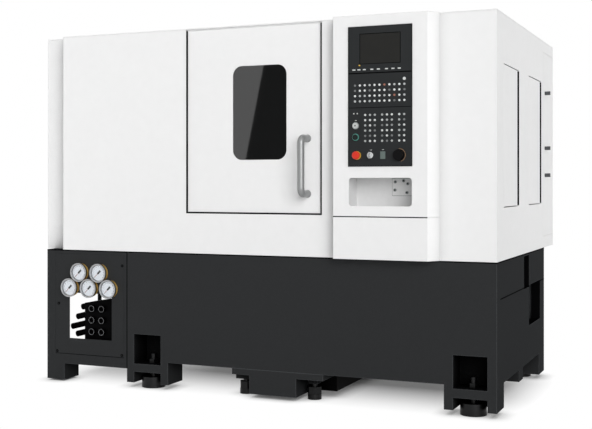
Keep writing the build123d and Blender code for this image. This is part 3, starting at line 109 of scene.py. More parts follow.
@dataclass(frozen=True)
class Finish:
    """A real material with a grain, as a procedural shader, with painted shade in recesses and a painted highlight on
    outer edges where they are set.
    """

    name: str
    base: str
    shade: str
    roughness: float
    metallic: float = 0.0
    grain_mm: float = 4.0
    stretch: Point = (1.0, 1.0, 1.0)
    bump_mm: float = 0.0
    edge_mm: float = 0.0
    alpha: float = 1.0
    specular: float = 0.5
    # Painted shade in recesses: its reach, its strength, and whether only the piece itself casts it
    shade_reach_mm: float = 0.0
    shade_power: float = 1.0
    shade_own_only: bool = False
    # Painted highlight on outer edges: its colour and its width
    edge_highlight: str = ""
    edge_highlight_mm: float = 5.0

    def material(self) -> bpy.types.Material:
        """Builds the material, or gives back the one already built."""
        found = bpy.data.materials.get(self.name)
        if found:
            return found
        made = bpy.data.materials.new(self.name)
        made.use_nodes = True
        tree = made.node_tree
        tree.nodes.clear()
        colour, height = self.pattern(tree)
        # Painted highlight on the outer edges, then painted shade in the recesses
        colour = self.painted_recess_shade(tree, self.painted_edge_highlight(tree, colour))
        shader = add_node(tree, "ShaderNodeBsdfPrincipled", inputs={
            "Base Color": colour, "Metallic": self.metallic, "Alpha": self.alpha,
            "Specular IOR Level": self.specular,
        })
        rough = add_node(tree, "ShaderNodeMapRange", inputs={
            "Value": height, "To Min": self.roughness * (1 - ROUGH_SPREAD),
            "To Max": min(1.0, self.roughness * (1 + ROUGH_SPREAD)),
        })
        tree.links.new(rough.outputs["Result"], shader.inputs["Roughness"])
        self.relief(tree, shader, height)
        add_node(tree, "ShaderNodeOutputMaterial", inputs={"Surface": shader.outputs[0]})
        return made

    def pattern(self, tree: bpy.types.NodeTree) -> tuple[bpy.types.NodeSocket, bpy.types.NodeSocket]:
        """Adds the grain.

        Args:
            tree: Material's tree.

        Returns:
            Colour socket and height socket.
        """
        place = add_node(tree, "ShaderNodeTexCoord")
        scale = [s / (self.grain_mm * MM) for s in self.stretch]
        spread = add_node(tree, "ShaderNodeMapping", inputs={"Vector": place.outputs["Object"], "Scale": scale})
        grain = add_node(tree, "ShaderNodeTexNoise", inputs={
            "Vector": spread.outputs["Vector"], "Scale": 1.0, "Detail": GRAIN_DETAIL, "Roughness": GRAIN_ROUGHNESS,
        })
        tint = add_node(tree, "ShaderNodeMix", {"data_type": "RGBA"}, {
            "Factor": grain.outputs["Fac"], MIX_A: linear(self.base), MIX_B: linear(self.shade),
        })
        return tint.outputs[MIX_OUT], grain.outputs["Fac"]

    def painted_edge_highlight(self, tree: bpy.types.NodeTree, colour: bpy.types.NodeSocket) -> bpy.types.NodeSocket:
        """Lightens outer edges with a painted highlight along their rounding.

        Args:
            tree: Material's tree.
            colour: Colour of the open surface.

        Returns:
            Colour socket with the edges lighter.
        """
        if not self.edge_highlight:
            return colour
        rounded = add_node(tree, "ShaderNodeBevel", {"samples": EDGE_SAMPLES}, {"Radius": self.edge_highlight_mm * MM})
        surface = add_node(tree, "ShaderNodeNewGeometry")
        turn = add_node(tree, "ShaderNodeVectorMath", {"operation": "DOT_PRODUCT"}, {
            0: rounded.outputs[0], 1: surface.outputs["True Normal"],
        })
        share = add_node(tree, "ShaderNodeMapRange", inputs={
            "Value": turn.outputs["Value"], "From Min": HIGHLIGHT_TURN[0], "From Max": HIGHLIGHT_TURN[1],
            "To Min": 1.0, "To Max": 0.0,
        })
        return add_node(tree, "ShaderNodeMix", {"data_type": "RGBA"}, {
            "Factor": share.outputs["Result"], MIX_A: colour, MIX_B: linear(self.edge_highlight),
        }).outputs[MIX_OUT]

    def painted_recess_shade(self, tree: bpy.types.NodeTree, colour: bpy.types.NodeSocket) -> bpy.types.NodeSocket:
        """Darkens inner corners and pockets with painted shade, taken from ambient occlusion.

        Args:
            tree: Material's tree.
            colour: Colour of the open surface.

        Returns:
            Colour socket with the recesses darker.
        """
        if not self.shade_reach_mm:
            return colour
        hollow = add_node(tree, "ShaderNodeAmbientOcclusion", {
            "samples": SHADE_SAMPLES, "only_local": self.shade_own_only,
        }, {"Distance": self.shade_reach_mm * MM})
        depth = add_node(tree, "ShaderNodeMath", {"operation": "POWER"}, {
            0: hollow.outputs["AO"], 1: self.shade_power,
        })
        return add_node(tree, "ShaderNodeMix", {"data_type": "RGBA", "blend_type": "MULTIPLY"}, {
            "Factor": 1.0, MIX_A: colour, MIX_B: depth.outputs[0],
        }).outputs[MIX_OUT]

    def relief(self, tree: bpy.types.NodeTree, shader: bpy.types.Node, height: bpy.types.NodeSocket) -> None:
        """Adds the surface relief and the small edge rounding of folded sheet.

        Args:
            tree: Material's tree.
            shader: Shader that takes the normal.
            height: Relief height, from nought to one.
        """
        normal = None
        if self.edge_mm:
            edge = add_node(tree, "ShaderNodeBevel", {"samples": EDGE_SAMPLES}, {"Radius": self.edge_mm * MM})
            normal = edge.outputs[0]
        if self.bump_mm:
            bump = add_node(tree, "ShaderNodeBump", inputs={
                "Strength": 1.0, "Distance": self.bump_mm * MM, "Height": height,
            })
            if normal:
                tree.links.new(normal, bump.inputs["Normal"])
            normal = bump.outputs[0]
        if normal:
            tree.links.new(normal, shader.inputs["Normal"])


@dataclass(frozen=True)
class KeyFieldFinish(Finish):
    """Printed polyester keys: half of them white, the rest light grey, grey and a few red."""

    pitch_mm: Pair = (22.0, 22.0)
    corner_mm: Pair = (0.0, 0.0)
    grey: str = "#6f7172"
    red: str = "#94604f"
    starts: Point = (0.5, 0.74, 0.93)

    def pattern(self, tree: bpy.types.NodeTree) -> tuple[bpy.types.NodeSocket, bpy.types.NodeSocket]:
        """Gives each key one colour by its place in the field.

        Args:
            tree: Material's tree.

        Returns:
            Colour socket and height socket.
        """
        place = add_node(tree, "ShaderNodeTexCoord")
        moved = add_node(tree, "ShaderNodeVectorMath", {"operation": "SUBTRACT"}, {
            0: place.outputs["Object"], 1: (self.corner_mm[0] * MM, KEY_LAYER_START, self.corner_mm[1] * MM),
        })
        cell = add_node(tree, "ShaderNodeVectorMath", {"operation": "SNAP"}, {
            0: moved.outputs[0], 1: (self.pitch_mm[0] * MM, KEY_LAYER_DEPTH, self.pitch_mm[1] * MM),
        })
        pick = add_node(tree, "ShaderNodeTexWhiteNoise", {"noise_dimensions": "3D"}, {"Vector": cell.outputs[0]})
        ramp = add_node(tree, "ShaderNodeValToRGB", inputs={"Fac": pick.outputs["Value"]})
        ramp.color_ramp.interpolation = "CONSTANT"
        stops = ramp.color_ramp.elements
        stops[0].position, stops[0].color = 0.0, linear(self.base)
        stops[1].position, stops[1].color = self.starts[0], linear(self.shade)
        for position, colour in zip(self.starts[1:], (self.grey, self.red)):
            stop = stops.new(position)
            stop.color = linear(colour)
        return ramp.outputs["Color"], pick.outputs["Value"]


# Grit, brushing, turning lines and print are finer than half a millimetre on the real machine and wouldn't show.
# So each grain below is drawn as coarse as it needs to show, and grain_mm is the width as drawn.

# Polyester powder coat on folded sheet: even white with a faint orange peel and soft edges
WHITE_COAT = Finish("polyester_powder_coat", "#efefef", "#ebebeb", 0.5, specular=0.08, grain_mm=40.0, bump_mm=0.05,
                    edge_mm=4.0)
# The same coat on the stepped covers, with painted shade in their inner corners
STEPPED_COAT = replace(WHITE_COAT, name="stepped_cover_powder_coat", shade_reach_mm=60.0, shade_power=0.7)
# The same coat on the left end, with deeper painted shade in the corner beside the front cover
END_COAT = replace(WHITE_COAT, name="end_cover_powder_coat", shade_reach_mm=130.0, shade_power=1.1)
# The same coat on the roof, dull from above, so that low light leaves no glare
ROOF_COAT = replace(WHITE_COAT, name="white_roof_powder_coat", specular=0.0)
# Two-pack paint on welded plate: near black, dull, lightly textured, with painted shade in its pockets and corners and
# a painted highlight along its outer edges
CHARCOAL = Finish("charcoal_enamel", "#343536", "#2f3031", 0.65, specular=0.0, grain_mm=6.0, bump_mm=0.08,
                  edge_mm=2.5, shade_reach_mm=260.0, shade_power=1.5, shade_own_only=True, edge_highlight="#545658")
# The same paint on thin sheet, without the painted edge highlight
CHARCOAL_SHEET = replace(CHARCOAL, name="charcoal_sheet_enamel", edge_highlight="")
# Black oxide steel: near black with a dry sheen, darkened in the leg pockets by painted shade
BLACK_OXIDE = Finish("black_oxide_steel", "#222325", "#191a1b", 0.35, specular=0.2, grain_mm=3.0, bump_mm=0.05,
                     edge_mm=1.0, shade_reach_mm=110.0, shade_power=2.6)
# Black valve castings in the cabinet: near black, and darker in their recesses by painted shade
VALVE_BLACK = Finish("valve_black_lacquer", "#0b0b0c", "#060607", 0.5, specular=0.02, grain_mm=3.0, bump_mm=0.05,
                     edge_mm=1.0, shade_reach_mm=150.0, shade_power=1.3)
# Control panel polyester overlay: dark slate, satin
PANEL_FILM = Finish("panel_polyester_film", "#252728", "#212324", 0.55, specular=0.15, grain_mm=2.0, bump_mm=0.02,
                    edge_mm=0.8)
# Turned brass: warm yellow with fine turning lines
BRASS = Finish("turned_brass", "#f2cb78", "#dfae50", 0.36, 0.4, grain_mm=2.0, stretch=(1.0, 6.0, 1.0), edge_mm=0.8)
# Rolled stainless bezel: bright, slightly warm where it mirrors the brass
BEZEL_STEEL = Finish("rolled_stainless", "#b4b5b6", "#9fa0a2", 0.28, 1.0, grain_mm=3.0, edge_mm=1.2)
# Clear float glass: only its gloss shows
CLEAR_GLASS = Finish("clear_float_glass", "#f4f6f6", "#eef1f2", 0.03, alpha=0.03, specular=0.3, grain_mm=30.0)
# Tinted laminated glass: black from outside with a clean mirror gloss
TINTED_GLASS = Finish("tinted_laminated_glass", "#0d0e0e", "#0a0b0b", 0.03, alpha=0.97, specular=0.5, grain_mm=60.0)
# Coated screen glass: dark olive grey when off
SCREEN_GLASS = Finish("screen_glass", "#272725", "#222221", 0.3, specular=0.1, grain_mm=50.0)
# Printed enamel dial: clean cold white
DIAL_ENAMEL = Finish("dial_enamel", "#e3e7ec", "#dadfe6", 0.4, grain_mm=8.0)
# Printing ink: flat black; also the painted shade in the screw sockets
INK_AND_SOCKET_SHADE = Finish("dial_ink_and_socket_shade", "#151516", "#0e0e0f", 0.6, specular=0.2, grain_mm=2.0)
# Red lacquer on the pointer tip
POINTER_RED = Finish("pointer_lacquer", "#a3594c", "#8f4a3f", 0.45, grain_mm=2.0)
# White printing ink on the panel: slightly uneven
PANEL_INK = Finish("panel_ink", "#d8dad9", "#c4c7c6", 0.6, grain_mm=1.5)
# Needle lacquer: flat black
NEEDLE_LACQUER = Finish("needle_lacquer", "#141416", "#0e0e10", 0.45, grain_mm=2.0)
# Sheet of the storage tray, painted light grey
TRAY_GREY = Finish("grey_satin_paint", "#dddddd", "#d4d4d4", 0.5, grain_mm=20.0, bump_mm=0.03, edge_mm=1.5)
# Liner of the chamber: grey paint, wiped and a little dull
LINER_GREY = Finish("liner_paint", "#a9acae", "#9a9da0", 0.5, grain_mm=30.0, bump_mm=0.05)
# Satin anodised aluminium: mid grey with fine drawn lines along the bar
SATIN_ALUMINIUM = Finish("satin_anodised_aluminium", "#959696", "#868888", 0.36, 0.5, grain_mm=2.0,
                         stretch=(1.0, 1.0, 0.1), edge_mm=1.0)
# Plated zinc of the key switch and the cover screws: bright grey
PLATED_ZINC = Finish("plated_zinc", "#b4b5b6", "#9a9c9d", 0.25, 0.8, grain_mm=3.0, edge_mm=1.0)
# Cast zinc of the main switch and the latches: dark grey
KNOB_ZINC = Finish("cast_zinc", "#4c4e50", "#3b3d3f", 0.35, 0.3, grain_mm=3.0, edge_mm=1.0)
# Ground steel: grey with fine lines
GROUND_STEEL = Finish("ground_steel", "#b1b2b3", "#9d9fa0", 0.3, 1.0, grain_mm=2.0, stretch=(0.15, 1.0, 1.0),
                      edge_mm=1.0)
# Painted grey casting: dull and slightly pebbled
CASTING_PAINT = Finish("casting_paint", "#8a8d8f", "#7b7e80", 0.55, grain_mm=9.0, bump_mm=0.15, edge_mm=3.0)
# Signal red moulded cap
SIGNAL_RED = Finish("signal_red_polycarbonate", "#dc3420", "#cb2c1a", 0.35, specular=0.3, grain_mm=6.0, edge_mm=1.5)
# Yellow collar of the stop button
SIGNAL_YELLOW = Finish("signal_yellow_polycarbonate", "#d9b13a", "#cda42f", 0.35, grain_mm=6.0, edge_mm=0.8)
# Dark lens of the start button
START_LENS = Finish("start_button_lens", "#16201e", "#111a18", 0.3, specular=0.2, grain_mm=4.0, edge_mm=0.8)
# Black moulded knob with a dry sheen
KNOB_ABS = Finish("override_knob_abs", "#0a0a0b", "#060607", 0.4, specular=0.08, grain_mm=1.5, edge_mm=1.0)
# Grey-white lens of the hold button
HOLD_LENS = Finish("hold_button_lens", "#c9cccb", "#b9bcbb", 0.3, grain_mm=4.0, edge_mm=0.8)
# Moulded rubber of seals, joints and grip channels: dead black; the same black paints the shadow line under the covers
# and the shade in the base's openings
EPDM_RUBBER = Finish("epdm_rubber", "#0a0a0b", "#060607", 0.8, grain_mm=2.0, specular=0.0)
# Filter fleece behind the louvres: dark and matt
FILTER_FLEECE = Finish("filter_fleece", "#2a2b2c", "#1b1c1d", 0.95, specular=0.0, grain_mm=5.0, bump_mm=0.4)
# Painted highlight on the rims of the black caps, broken into light and dark arcs
CAP_RIM_HIGHLIGHT = Finish("cap_rim_painted_highlight", "#9d9fa1", "#101011", 0.45, grain_mm=9.0)
# Painted shadow: a grey ring on the dial's edge, where the bezel shades it
BEZEL_SHADE = Finish("bezel_painted_shadow", "#85888c", "#777a7e", 0.5, grain_mm=4.0)
# Yellow indicator lens
LENS_YELLOW = Finish("indicator_lens_yellow", "#d8b13c", "#c59f30", 0.35, grain_mm=2.0)
# Green and grey moulded rings round the lit buttons
RING_GREEN = Finish("ring_green_abs", "#55a092", "#468b7e", 0.4, grain_mm=3.0)
RING_GREY = Finish("ring_grey_abs", "#8d9292", "#7d8282", 0.4, grain_mm=3.0)
# Grey-green moulded cover of the data port
PORT_COVER = Finish("port_cover_abs", "#5d6b67", "#53605c", 0.45, grain_mm=2.0)
# Bronze-coloured print round the override knob
BRONZE_INK = Finish("bronze_ink", "#9a7a5a", "#86694c", 0.45, 0.4, grain_mm=2.0)
# Printed key film: white and grey keys, with a few dull red ones on the keyboard
KEYBOARD_KEYS = KeyFieldFinish("keyboard_key_film", "#dcdede", "#b6b9ba", 0.45, pitch_mm=(22.4, 22.99),
                               corner_mm=(525.8, 1333.5))
OPERATOR_KEYS = KeyFieldFinish("operator_key_film", "#d0d2d2", "#aaadad", 0.45, pitch_mm=(22.0, 22.6),
                               corner_mm=(578.5, 1160.7), red="#8b8e8f")

NODE_FINISHES: dict[str, Finish] = {
    "base_frame": CHARCOAL, "hydraulic_cabinet": CHARCOAL, "middle_support": CHARCOAL, "coolant_tank": CHARCOAL,
    "gauge_panel": CHARCOAL_SHEET, "levelling_feet": BLACK_OXIDE, "valve_block": VALVE_BLACK,
    "valve_fittings": VALVE_BLACK, "window_frame": BLACK_OXIDE, "gauge_cases": BRASS, "gauge_bezels": BEZEL_STEEL,
    "gauge_lenses": CLEAR_GLASS, "chamber_liner": LINER_GREY, "storage_tray": TRAY_GREY,
    "display_unit": PANEL_FILM, "keyboard_panel": PANEL_FILM, "operator_panel": PANEL_FILM,
    "display_screen": SCREEN_GLASS, "keyboard_keys": KEYBOARD_KEYS, "operator_keys": OPERATOR_KEYS,
    "hold_button": HOLD_LENS, "start_button": START_LENS, "stop_button": SIGNAL_RED, "stop_collar": SIGNAL_YELLOW,
    "key_switch": PLATED_ZINC, "upper_latch": KNOB_ZINC, "lower_latch": KNOB_ZINC, "main_switch": KNOB_ZINC,
    "override_knob": KNOB_ABS, "door_window": TINTED_GLASS, "door_handle": SATIN_ALUMINIUM,
    "door_rails": GROUND_STEEL, "spindle": GROUND_STEEL, "chuck_body": GROUND_STEEL, "chuck_jaw_1": GROUND_STEEL,
    "chuck_jaw_2": GROUND_STEEL, "chuck_jaw_3": GROUND_STEEL, "turret_disc": GROUND_STEEL,
    "tailstock_quill": GROUND_STEEL, "slant_bed": CASTING_PAINT, "headstock": CASTING_PAINT,
    "saddle": CASTING_PAINT, "cross_slide": CASTING_PAINT, "tailstock": CASTING_PAINT,
    "front_cover": STEPPED_COAT, "left_end_cover": END_COAT, "control_housing": STEPPED_COAT,
    "lower_control_cover": STEPPED_COAT, "roof_cover": ROOF_COAT,
    **{f"gauge_needle_{n}": NEEDLE_LACQUER for n in range(1, 6)},
}


def dress_cad_nodes() -> None:
    """Gives each CAD node its finish; sheet covers and doors take the white coat."""
    for name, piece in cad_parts.items():
        finish = NODE_FINISHES.get(name, WHITE_COAT)
        piece.data.materials.clear()
        piece.data.materials.append(finish.material())
    LOG.info("finishes on %d CAD nodes", len(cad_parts))


def keep(piece: bpy.types.Object, body: str) -> bpy.types.Object:
    """Sets a new piece on its body.

    Args:
        piece: Finished mesh object.
        body: CAD body that carries it.

    Returns:
        The same piece.
    """
    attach(piece, body)
    LOG.info("%s on %s", piece.name, body)
    return piece


def mesh_object(name: str, shape: bmesh.types.BMesh, finish: Finish) -> bpy.types.Object:
    """Turns a bmesh to an object at the origin.

    Args:
        name: Piece's name.
        shape: Mesh in the part's frame; it is freed.
        finish: Finish of the whole piece.

    Returns:
        The linked object.
    """
    bmesh.ops.recalc_face_normals(shape, faces=shape.faces)
    mesh = bpy.data.meshes.new(name)
    shape.to_mesh(mesh)
    shape.free()
    mesh.materials.append(finish.material())
    piece = bpy.data.objects.new(name, mesh)
    bpy.context.scene.collection.objects.link(piece)
    return piece


def add_plate(shape: bmesh.types.BMesh, low: Sequence[float], high: Sequence[float]) -> None:
    """Adds a block between two corners given in millimetres.

    Args:
        shape: Mesh that takes the block.
        low: Lowest corner.
        high: Highest corner.
    """
    made = bmesh.ops.create_cube(shape, size=1.0)
    for vertex in made["verts"]:
        vertex.co = Vector([(lo + (c + 0.5) * (hi - lo)) * MM for c, lo, hi in zip(vertex.co, low, high)])


def rim_bars(opening: Box, rim: float) -> list[Box]:
    """Gives the four bars of a rim round an opening.

    Args:
        opening: Left, right, low and high edge of the opening.
        rim: Width of the bars.

    Returns:
        Left, right, low and high edge of each bar.
    """
    left, right, low, high = opening
    return [
        (left - rim, left, low - rim, high + rim), (right, right + rim, low - rim, high + rim),
        (left, right, low - rim, low), (left, right, high, high + rim),
    ]


def add_ring(shape: bmesh.types.BMesh, centre: Point, inner: float, outer: float, depth: float,
             sides: int = 48) -> None:
    """Adds a flat ring, or a disc where the inner radius is nought, facing the front.

    Args:
        shape: Mesh that takes the ring.
        centre: Middle of the back face in millimetres.
        inner: Inner radius in millimetres.
        outer: Outer radius in millimetres.
        depth: Thickness towards the front in millimetres.
        sides: Number of corners round it.
    """
    x, y, z = centre
    loops: list[list[bmesh.types.BMVert]] = []
    for radius, level in ((inner, y), (outer, y), (outer, y - depth), (inner, y - depth)):
        loops.append([
            shape.verts.new(Vector((x + radius * math.cos(a), level, z + radius * math.sin(a))) * MM)
            for a in (2 * math.pi * i / sides for i in range(sides))
        ])
    for first, second in zip(loops, loops[1:] + loops[:1]):
        for i in range(sides):
            j = (i + 1) % sides
            shape.faces.new((first[i], first[j], second[j], second[i]))
    if inner == 0:
        bmesh.ops.remove_doubles(shape, verts=loops[0] + loops[3], dist=MERGE_DISTANCE)


class NodeRecipe:
    """A Geometry Nodes tree with named inputs, baked to a plain mesh."""

    def __init__(self, name: str, inputs: Iterable[tuple[str, str]]) -> None:
        """Starts the tree with a geometry input, the named inputs and a geometry output.

        Args:
            name: Tree's name.
            inputs: Input name and socket type.
        """
        self.tree = bpy.data.node_groups.new(name, "GeometryNodeTree")
        face = self.tree.interface
        face.new_socket("Geometry", in_out="INPUT", socket_type="NodeSocketGeometry")
        for label, kind in inputs:
            face.new_socket(label, in_out="INPUT", socket_type=kind)
        face.new_socket("Geometry", in_out="OUTPUT", socket_type="NodeSocketGeometry")
        self.entry = add_node(self.tree, "NodeGroupInput").outputs

    def close(self, instances: bpy.types.NodeSocket) -> None:
        """Ends the tree in Realize Instances and Set Material.

        Args:
            instances: Socket with the instances.
        """
        real = add_node(self.tree, "GeometryNodeRealizeInstances", inputs={"Geometry": instances})
        dressed = add_node(self.tree, "GeometryNodeSetMaterial", inputs={
            "Geometry": real.outputs[0], "Material": self.entry["Material"],
        })
        add_node(self.tree, "NodeGroupOutput", inputs={0: dressed.outputs[0]})

    def bake(self, name: str, source: bpy.types.Mesh, finish: Finish, **values: Any) -> bpy.types.Object:
        """Runs the tree once and keeps the result as a plain mesh object.

        Args:
            name: Piece's name.
            source: Mesh that enters the tree.
            finish: Finish of the piece.
            **values: Input values, with underscores for spaces.

        Returns:
            The baked piece.
        """
        carrier = bpy.data.objects.new(name + "_source", source)
        bpy.context.scene.collection.objects.link(carrier)
        modifier = carrier.modifiers.new("recipe", "NODES")
        modifier.node_group = self.tree
        wanted = {key.replace("_", " "): value for key, value in values.items()}
        wanted["Material"] = finish.material()
        for item in self.tree.interface.items_tree:
            if item.in_out == "INPUT" and item.name in wanted:
                modifier[item.identifier] = wanted[item.name]
        graph = bpy.context.evaluated_depsgraph_get()
        mesh = bpy.data.meshes.new_from_object(carrier.evaluated_get(graph), depsgraph=graph)
        bpy.data.objects.remove(carrier)
        bpy.data.meshes.remove(source)
        mesh.name = name
        piece = bpy.data.objects.new(name, mesh)
        bpy.context.scene.collection.objects.link(piece)
        return piece


def facing_points(name: str, places: Iterable[Point], facing: Facing) -> bpy.types.Mesh:
    """Makes loose points that hold the direction in which their piece looks.

    Args:
        name: Mesh name.
        places: Points in millimetres.
        facing: Direction for all of them.

    Returns:
        Mesh of vertices with the attribute "facing".
    """
    mesh = bpy.data.meshes.new(name + "_points")
    mesh.from_pydata([tuple(c * MM for c in place) for place in places], [], [])
    held = mesh.attributes.new("facing", "FLOAT_VECTOR", "POINT")
    for item in held.data:
        item.vector = facing.value
    return mesh


def stud_recipe() -> NodeRecipe:
    """Builds the tree for round or many-sided heads on points.

    Returns:
        Recipe with the inputs Radius, Height, Sides and Material.
    """
    recipe = NodeRecipe("stud_heads", (("Radius", "NodeSocketFloat"), ("Height", "NodeSocketFloat"),
                                       ("Sides", "NodeSocketInt"), ("Material", "NodeSocketMaterial")))
    tree, entry = recipe.tree, recipe.entry
    head = add_node(tree, "GeometryNodeMeshCylinder", inputs={
        "Vertices": entry["Sides"], "Radius": entry["Radius"], "Depth": entry["Height"],
    })
    look = add_node(tree, "GeometryNodeInputNamedAttribute", {"data_type": "FLOAT_VECTOR"}, {"Name": "facing"})
    turn = add_node(tree, "FunctionNodeAlignRotationToVector", {"axis": "Z"}, {"Vector": look.outputs[0]})
    placed = add_node(tree, "GeometryNodeInstanceOnPoints", inputs={
        "Points": entry["Geometry"], "Instance": head.outputs["Mesh"], "Rotation": turn.outputs[0],
    })
    recipe.close(placed.outputs[0])
    return recipe


def mark_recipe() -> NodeRecipe:
    """Builds the tree for flat printed marks on points.

    Returns:
        Recipe with the inputs Size and Material.
    """
    recipe = NodeRecipe("printed_marks", (("Size", "NodeSocketVector"), ("Material", "NodeSocketMaterial")))
    mark = add_node(recipe.tree, "GeometryNodeMeshCube", inputs={"Size": recipe.entry["Size"]})
    placed = add_node(recipe.tree, "GeometryNodeInstanceOnPoints", inputs={
        "Points": recipe.entry["Geometry"], "Instance": mark.outputs["Mesh"],
    })
    recipe.close(placed.outputs[0])
    return recipe


def tick_recipe() -> NodeRecipe:
    """Builds the tree for scale ticks on an arc round each point, in a front-facing plane.

    Returns:
        Recipe with the inputs Radius, Count, Start, Sweep, Size and Material.
    """
    recipe = NodeRecipe("scale_ticks", (("Radius", "NodeSocketFloat"), ("Count", "NodeSocketInt"),
                                        ("Start", "NodeSocketFloat"), ("Sweep", "NodeSocketFloat"),
                                        ("Size", "NodeSocketVector"), ("Material", "NodeSocketMaterial")))
    tree, entry = recipe.tree, recipe.entry
    arc = add_node(tree, "GeometryNodeCurveArc", {"mode": "RADIUS"}, {
        "Resolution": entry["Count"], "Radius": entry["Radius"], "Start Angle": entry["Start"],
        "Sweep Angle": entry["Sweep"],
    })
    spread = add_node(tree, "GeometryNodeCurveToPoints", {"mode": "COUNT"}, {
        "Curve": arc.outputs[0], "Count": entry["Count"],
    })
    tick = add_node(tree, "GeometryNodeMeshCube", inputs={"Size": entry["Size"]})
    ring = add_node(tree, "GeometryNodeInstanceOnPoints", inputs={
        "Points": spread.outputs["Points"], "Instance": tick.outputs["Mesh"], "Rotation": spread.outputs["Rotation"],
    })
    upright = add_node(tree, "GeometryNodeTransform", inputs={
        "Geometry": ring.outputs[0], "Rotation": (math.radians(90), 0.0, 0.0),
    })
    placed = add_node(tree, "GeometryNodeInstanceOnPoints", inputs={
        "Points": entry["Geometry"], "Instance": upright.outputs[0],
    })
    recipe.close(placed.outputs[0])
    return recipe


# Sizes of the classes below are millimetres in the part's frame. The studio's are metres.


@dataclass
class Fasteners:
    """Socket screws, each a round head with a dark hexagon in it that paints the shade in its socket."""

    recipe: NodeRecipe = field(default_factory=stud_recipe)
    socket_share: float = 0.5
    socket_proud: float = 0.3
    head_sides: int = 20
    socket_sides: int = 6

    def build(self, name: str, places: Sequence[Point], facing: Facing, radius: float, height: float,
              finish: Finish, body: str, slot: str) -> None:
        """Builds one group of screws.

        Args:
            name: Group's name.
            places: Points on the carrying face in millimetres.
            facing: Direction of the heads.
            radius: Head radius in millimetres.
            height: Head height in millimetres.
            finish: Finish of the heads.
            body: CAD body that carries them.
            slot: Material slot; not used.
        """
        heads = self.recipe.bake(name, facing_points(name, places, facing), finish, Radius=radius * MM,
                                 Height=2 * height * MM, Sides=self.head_sides)
        keep(heads, body)
        # Painted shade: a dark hexagon proud of each head, where the socket's shade would fall
        sockets = self.recipe.bake(
            name + "_sockets", facing_points(name, places, facing), INK_AND_SOCKET_SHADE, Radius=radius * self.socket_share * MM,
            Height=2 * (height + self.socket_proud) * MM, Sides=self.socket_sides)
        keep(sockets, body)


@dataclass
class Gauges:
    """Dial faces, scales and pointers of the five pressure gauges."""

    low_x: tuple[float, ...] = (-984.25, -871.75, -759.25)
    high_x: tuple[float, ...] = (-928.0, -815.5)
    low_z: float = 471.0
    high_z: float = 548.0
    dial_y: float = -670.0
    dial_radius: float = 39.0
    dial_sheet: float = 0.25
    shadow_ring_radius: float = 37.2
    shadow_ring_overlap: float = 0.7
    shadow_ring_sheet: float = 0.4
    scale_radius: float = 31.0
    scale_start: float = -45.0
    scale_sweep: float = 270.0
    scales: tuple[tuple[str, int, float, float], ...] = (
        ("gauge_fine_ticks", 51, 2.2, 0.5), ("gauge_main_ticks", 11, 4.6, 1.2),
    )
    ink_depth: float = 0.15
    needle_reach: float = 2.5
    zero_angle: float = math.radians(225.0)
    tip_start: float = 6.0
    tip_end: float = 30.5
    tip_half: float = 1.0
    tail_end: float = 17.0
    tail_half: float = 4.6

    def places(self) -> list[Pair]:
        """Gives the dial centres, lower row first."""
        return [(x, self.low_z) for x in self.low_x] + [(x, self.high_z) for x in self.high_x]

    def build(self) -> None:
        """Builds the dials with their painted shadow rings, scales and pointers."""
        shape = bmesh.new()
        for x, z in self.places():
            add_ring(shape, (x, self.dial_y, z), 0.0, self.dial_radius, self.dial_sheet)
        keep(mesh_object("gauge_dials", shape, DIAL_ENAMEL), "machine")
        # Painted shadow: a grey ring round each dial, beside the bezel
        shadow_rings = bmesh.new()
        for x, z in self.places():
            add_ring(shadow_rings, (x, self.dial_y - self.dial_sheet, z), self.shadow_ring_radius,
                     self.dial_radius + self.shadow_ring_overlap, self.shadow_ring_sheet)
        keep(mesh_object("gauge_dial_shadow_rings", shadow_rings, BEZEL_SHADE), "machine")
        front = self.dial_y - self.dial_sheet - self.ink_depth / 2
        recipe = tick_recipe()
        centres = [(x, front, z) for x, z in self.places()]
        for name, count, length, width in self.scales:
            ticks = recipe.bake(
                name, facing_points(name, centres, Facing.FRONT), INK_AND_SOCKET_SHADE, Radius=self.scale_radius * MM, Count=count,
                Start=math.radians(self.scale_start), Sweep=math.radians(self.scale_sweep),
                Size=(length * MM, self.ink_depth * MM, width * MM))
            keep(ticks, "machine")
        for number, (x, z) in enumerate(self.places(), start=1):
            self.build_pointer(number, x, z)

    def build_pointer(self, number: int, x: float, z: float) -> None:
        """Builds the red tip and the black tail of one needle.

        Args:
            number: Needle's number.
            x: Dial centre across, in millimetres.
            z: Dial centre's height, in millimetres.
        """
        front = self.dial_y - self.needle_reach
        along = Vector((math.cos(self.zero_angle), 0.0, math.sin(self.zero_angle)))
        across = Vector((-along.z, 0.0, along.x))
        centre = Vector((x, front, z))
        lift = Vector((0.0, -self.ink_depth, 0.0))
        for name, start, end, half, finish in (
            ("pointer_tip", self.tip_start, self.tip_end, self.tip_half, POINTER_RED),
            ("pointer_tail", -self.tail_end, self.tip_start, self.tail_half, NEEDLE_LACQUER),
        ):
            shape = bmesh.new()
            ends, aside = [centre + along * start, centre + along * end], across * half
            corners = [ends[0] - aside, ends[1] - aside, ends[1] + aside, ends[0] + aside]
            lower = [shape.verts.new(c * MM) for c in corners]
            upper = [shape.verts.new((c + lift) * MM) for c in corners]
            shape.faces.new(lower)
            shape.faces.new(upper)
            for i in range(4):
                shape.faces.new((lower[i], lower[i - 1], upper[i - 1], upper[i]))
            keep(mesh_object(f"{name}_{number}", shape, finish), f"needle_{number}")


